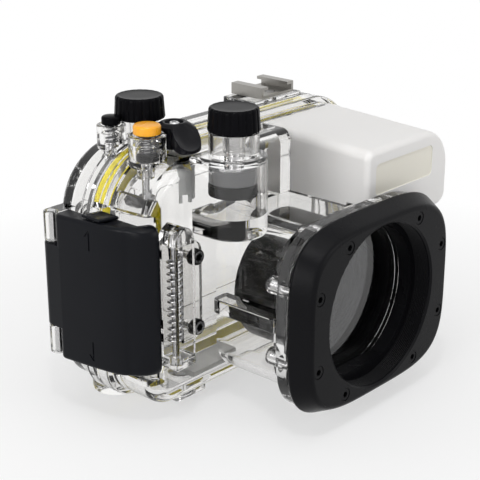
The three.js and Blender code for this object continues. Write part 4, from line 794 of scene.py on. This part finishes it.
def stem_seal():
    ring = tube(STEM_HOLE, 4.5, 58.3, 60.7, "z", top_at(SHUTTER), 48, 0.6)
    piece(ring, "shutter_ring_seal", "housing", RUBBER, "shutter_seal")


# Latch and catch

LATCH_EDGE, CLAW_CORNER = 1.4, 4.2
TONGUE = (-9, 26)       # the latch's own knuckle, between the door's lugs


def latch_profile():
    bend = quad((-87, 92), (-84, 64), (-80.6, 61), 14) + quad((-80.6, 61), (-77.6, 52.6), (-71.4, 52.6), 12)
    inside = [(-70, 54), CLAW, (-74.2, 58.2), (-74.2, 83.2), (-78.4, 83.2)]
    return tidy([(-78.4, 95)] + arc(-84, 92, 3, RIGHT, 2 * RIGHT, 8) + bend + inside)


def latch_cover():
    """The cover: its edges are rounded over, and so are the two corners of its claw."""
    rings = round_levels(LATCH_LOW, LATCH_HIGH, LATCH_EDGE, 5)
    for t in quarter(7, 1):
        rise = CLAW_CORNER * (1 - math.cos(t))
        if rise > LATCH_EDGE:
            rings += [(LATCH_LOW + rise, 0), (LATCH_HIGH - rise, 0)]
    out = []
    for z, d in sorted(rings):
        t = max(0, 1 - min(z - LATCH_LOW, LATCH_HIGH - z) / CLAW_CORNER)
        back = CLAW_CORNER * (1 - math.sqrt(1 - t * t)) * 0.8
        out.append([(x, y + back * smooth_step((66 - y) / 12), z) for x, y in inset(latch_profile(), d)])
    return loft(out)


def arrow_marks():
    """Two plain arrow marks, a bar and a barb each, let 0.35 mm into the cover's outer face."""
    marks = []
    for sign in (1, -1):
        z = 8.5 + sign * 19
        tip, barb = z + sign * 8, z + sign * 5.6
        for outline in ([(76.2, z), (77.0, z), (77.0, tip), (76.2, tip)],
                        [(76.2, tip), (77.0, tip), (78.9, barb), (78.1, barb)]):
            deep = prism(inset(latch_profile(), 0.35), -20, 37)
            marks.append(cut(prism(outline[::sign], -90, -80, "x"), deep))
    return marks


def latch():
    x, y = LATCH_AXIS
    low, high = -19.2, 36.2         # the room inside the cover
    inside = common(prism([(px + 2.8, py) for px, py in latch_profile()], low, high),
                    block(-87, 0, CLAW[1], 92.2, low, high))
    room = join(inside, block(-75.2, 0, 58.2, 92.2, low, high))
    tongue = [post(x, y, 3.5, *TONGUE, 40, 0.5), block(-87, x, 92.2, y, *TONGUE, 0.5)]
    pin_hole = post(x, y, PIN_HOLE, TONGUE[0] - 2, TONGUE[1] + 2, 24)
    slot = block(-81.2, -77.6, 71.2, 77.8, 35.2, 41)
    o = cut(join(cut(latch_cover(), room), tongue), pin_hole, slot, arrow_marks())
    piece(o, "latch_cover", "latch", SATIN, "latch_lever", angle=36)

    pad = prism([(-83.4, 72.2), (-75.4, 70), (-75.4, 79.8), (-83.4, 82)], 39.3, 40.7, "z", 0.5, 4)
    grips = [prism([(-83, 73.2 + k), (-75.8, 71.0 + k), (-75.8, 71.45 + k), (-83, 73.65 + k)], 40.35, 42)
             for k in (2.6, 4.2, 5.8)]
    stem = [block(-80.9, -77.9, 74.5, 77.5, 34.3, 40), block(-80.9, -76.7, 74.5, 76, 34.3, 35.9)]
    piece(join(cut(pad, grips), stem), "latch_lock_pad", "latch_lock_slide", SATIN, "latch_lock")


def catch():
    """The clear frame that the claw hooks on, and its two screws: steel heads whose rims and sockets take
    painted shade in black plastic.
    """
    border = prism(rounded(-69.4, -58.6, -19.4, 38.5, 1, 6), 46.4, 55.7, "y", 0.6, 4)
    plate = prism(rounded(-63.6, -48.6, -12.4, 29, 5), 52.3, 55.7, "y", 0.5, 4)
    holes = [prism(rounded(-67.9, -60.1, -14.8, 31.4, 0.6), 45.4, 54.2, "y"),
             post(-64.75, 51.05, 1.5, -18.4, 35, 24)]
    holes += [bar(CATCH_SCREW_X, z, PIN_HOLE, 46, 56, 24) for z in CATCH_SCREW_ZS]
    piece(cut(join(border, plate), holes), "catch_frame", "housing", CLEAR, "catch_bracket")
    head = [(0, 49.2), (2.5, 49.2), (3.0, 49.35), (3.2, 49.8), (3.2, 52)]
    profile = head + [(1.5, 52), (1.5, 59.1), (1.2, 59.4), (0, 59.4)]
    for i, node, z in zip((1, 2), ("catch_screw_upper", "catch_screw_lower"), CATCH_SCREW_ZS):
        # Painted shade: each head's rim and its socket take the black shroud plastic instead of steel.
        def painted_shade_faces(c):
            r = math.hypot(c.x - CATCH_SCREW_X, c.z - z)
            return r > 2.55 or r < 1.6 and c.y < 51
        o = cut(turn(profile, "y", (CATCH_SCREW_X, 0, z), 40), bar(CATCH_SCREW_X, z, 1.7, 48, 50.8, 6))
        piece(o, f"catch_bolt_{i}", "housing", STEEL, node, also=(DARK,), where=painted_shade_faces)


# Diffuser

HOOD_LEFT, HOOD_RIGHT, HOOD_LOW, HOOD_TOP = 10, 68, 22.5, 57
HOOD_FRONT, HOOD_LONG, HOOD_RISE = 17, 53.6, 3
HOOD_WALL, HOOD_EDGE, HOOD_FLOOR = 2.2, 2.4, 31.2
PANEL_X, PANEL_Z, PANEL_Y = (15.6, 55.8), (37.9, 51), 17.4


def hood_section(d, y):
    """The hood's outline at y, drawn in by d."""
    n = 10
    top = HOOD_TOP + HOOD_RISE * (y - HOOD_FRONT) / HOOD_LONG - d
    left, right, low = HOOD_LEFT + d, HOOD_RIGHT - d, HOOD_LOW + d
    corner, shoulder, under = max(4 - d, 0.3), 17 - d, max(6 - d, 0.3)
    points = [(left, low)] + arc(right - under, low + under, under, -RIGHT, 0, n)
    points += arc(right - shoulder, top - shoulder, shoulder, 0, RIGHT, 2 * n)
    points += arc(left + corner, top - corner, corner, RIGHT, 2 * RIGHT, n)
    return [(x, y, z) for x, z in points]


def hood(d, sections):
    """The hood's body drawn in by d, less the room for the step, the port and the tunnel."""
    o = loft([hood_section(d + e, y) for y, e in sections])
    floor = HOOD_FLOOR + d
    return cut(o, block(-1, 38 + d, 0, 84, -36, floor), block(-1, 38 + d, 0, 27.1 + d, -36, 34.5 + d),
               block(0, 154, 55.7 - d, 84, -36, floor))


def diffuser():
    front = [(HOOD_FRONT + HOOD_EDGE * (1 - math.cos(t)), HOOD_EDGE * (1 - math.sin(t))) for t in quarter(7)]
    back = HOOD_FRONT + HOOD_LONG
    outside = hood(0, front + [(back, 0)])
    inside = hood(HOOD_WALL, [(HOOD_FRONT + HOOD_WALL, 0), (back + OVER, 0)])
    panel = prism(rounded(*PANEL_X, *PANEL_Z, 2.2), 10, PANEL_Y, "y", 0.3, 3, start=False)

    def in_panel(c):
        inside_it = PANEL_X[0] - 0.1 < c.x < PANEL_X[1] + 0.1 and PANEL_Z[0] - 0.1 < c.z < PANEL_Z[1] + 0.1
        return inside_it and PANEL_Y - 0.35 < c.y < PANEL_Y + 0.1
    piece(cut(outside, inside, panel), "flash_hood", "diffuser_hood", MILKY, "diffuser", also=(CREAM,),
          where=in_panel, angle=40)


front_case()
rear_case()
main_seal()
port_ring()
for i, (x, z) in enumerate(PORT_SCREWS, 1):
    port_screw(i, x, z)
port_inside()
knob(*FRONT_DIAL, FRONT_DIAL_TOP, "front_dial_cap", "front_dial", "front_dial_knob")
knob(*MODE_DIAL, MODE_DIAL_TOP, "mode_cap", "mode_dial", "mode_knob")
rollers()
stem_seal()
zoom_lever()
for b, word, look in ((SHUTTER, "shutter", ORANGE), (POWER, "power", KNOB), (PLAYBACK, "playback", KNOB)):
    button(b, f"{word}_cap", word, look, f"{word}_button", top_at(b))
for i, (x, z) in enumerate(KEYS, 1):
    button(KEY, f"back_key_cap_{i}", f"back_key_{i}", KNOB, f"back_button_{i}", (x, 0, z), "y")
    button_coil(KEY, f"back_key_coil_{i}", f"back_spring_{i}", "door", f"back_key_{i}_press", (x, 0, z), "y")
for b, word, held_by in ((SHUTTER, "shutter", "housing"), (POWER, "power", "housing"),
                         (PLAYBACK, "playback", "door")):
    button_coil(b, f"{word}_coil", f"{word}_spring", held_by, f"{word}_press", top_at(b))
coil("catch_coil", "catch_spring", "housing", **CATCH_COIL, look=STEEL)
latch()
catch()
diffuser()


# Camera

AZIMUTH, ELEVATION = math.radians(-48.08), math.radians(20.26)
EYE = Vector((-375.5, -261.0, 195.1))
FOCAL_PIXELS, FRAME_PIXELS, SENSOR = 1247, 480, 36.0


def looking(place, ahead):
    return Matrix.Translation(place) @ Vector(ahead).to_track_quat("-Z", "Y").to_matrix().to_4x4()


camera = new_object("camera", bpy.data.cameras.new("camera"))
camera.matrix_world = looking(TO_FRAME @ EYE, (-math.sin(AZIMUTH) * math.cos(ELEVATION),
                                               math.cos(AZIMUTH) * math.cos(ELEVATION), -math.sin(ELEVATION)))
camera.data.sensor_width = SENSOR
camera.data.lens = FOCAL_PIXELS / FRAME_PIXELS * SENSOR
camera.data.clip_start = 0.01
bpy.context.scene.camera = camera
bpy.context.scene.view_settings.view_transform = "Standard"


# Background and floor

WORLD_LIGHT, WORLD_SEEN, WHITE = 0.4, 1.0, (1, 1, 1, 1)
FLOOR_REACH, FLOOR_DROP = 3.0, 0.0002
FLOOR_FADE = {"From Min": 0.08, "From Max": 0.26, "To Min": 0.55, "To Max": 1.0}


def to_the_eye(tree):
    """1 for what the camera, metal and clear plastic see of the background, 0 for the light it casts."""
    path = tree.nodes.new("ShaderNodeLightPath")
    last = path.outputs["Is Camera Ray"]
    for name in ("Is Glossy Ray", "Is Transmission Ray"):
        most = tree.nodes.new("ShaderNodeMath")
        most.operation = "MAXIMUM"
        tree.links.new(last, most.inputs[0])
        tree.links.new(path.outputs[name], most.inputs[1])
        last = most.outputs[0]
    return last


def blend(tree, share, a, b, output):
    mixer = tree.nodes.new("ShaderNodeMixShader")
    for i, socket in enumerate((share, a.outputs[0], b.outputs[0])):
        tree.links.new(socket, mixer.inputs[i])
    tree.links.new(mixer.outputs[0], tree.nodes[output].inputs["Surface"])


world = bpy.data.worlds.new("world")
bpy.context.scene.world = world
world.use_nodes = True
tree = world.node_tree
cast, seen = tree.nodes["Background"], tree.nodes.new("ShaderNodeBackground")
for node, strength in ((cast, WORLD_LIGHT), (seen, WORLD_SEEN)):
    node.inputs["Color"].default_value = WHITE
    node.inputs["Strength"].default_value = strength
blend(tree, to_the_eye(tree), cast, seen, "World Output")

# The floor is pale and takes the shadow; further out it turns into the white background.
corners = box(-FLOOR_REACH, FLOOR_REACH, -FLOOR_REACH, FLOOR_REACH)
floor = mesh_from([(x, y, 0) for x, y in corners], [(0, 1, 2, 3)])
floor.name = floor.data.name = "floor"
floor.location.z = -FLOOR_DROP
pale = bpy.data.materials.new("pale_floor")
pale.use_nodes = True
tree = pale.node_tree
surface, white = tree.nodes["Principled BSDF"], tree.nodes.new("ShaderNodeEmission")
surface.inputs["Base Color"].default_value = (0.9, 0.9, 0.9, 1)
surface.inputs["Roughness"].default_value = 0.9
white.inputs["Color"].default_value = WHITE
place, far = tree.nodes.new("ShaderNodeTexCoord"), tree.nodes.new("ShaderNodeVectorMath")
far.operation = "LENGTH"
tree.links.new(place.outputs["Object"], far.inputs[0])
fade = tree.nodes.new("ShaderNodeMapRange")
for key, value in FLOOR_FADE.items():
    fade.inputs[key].default_value = value
tree.links.new(far.outputs["Value"], fade.inputs["Value"])
share = tree.nodes.new("ShaderNodeMath")
share.operation = "MULTIPLY"
tree.links.new(fade.outputs["Result"], share.inputs[0])
tree.links.new(to_the_eye(tree), share.inputs[1])
blend(tree, share.outputs[0], surface, white, "Material Output")
floor.data.materials.append(pale)


# Lamps: name, size in metres, power in watts, place. They all point at the middle of the part.

LAMPS = (("top_light", 0.6, 1.8, (-0.1, -0.15, 0.9)), ("key_light", 0.05, 0.8, (-0.3, -0.24, 0.78)),
         ("side_light", 0.5, 4.2, (-0.95, -0.1, 0.35)), ("front_light", 0.5, 1.8, (0.35, -0.9, 0.45)))
MIDDLE = Vector((0, 0, 0.05))

for name, size, power, place in LAMPS:
    data = bpy.data.lights.new(name, "AREA")
    data.shape, data.size, data.energy = "SQUARE", size, power
    new_object(name, data).matrix_world = looking(place, MIDDLE - Vector(place))
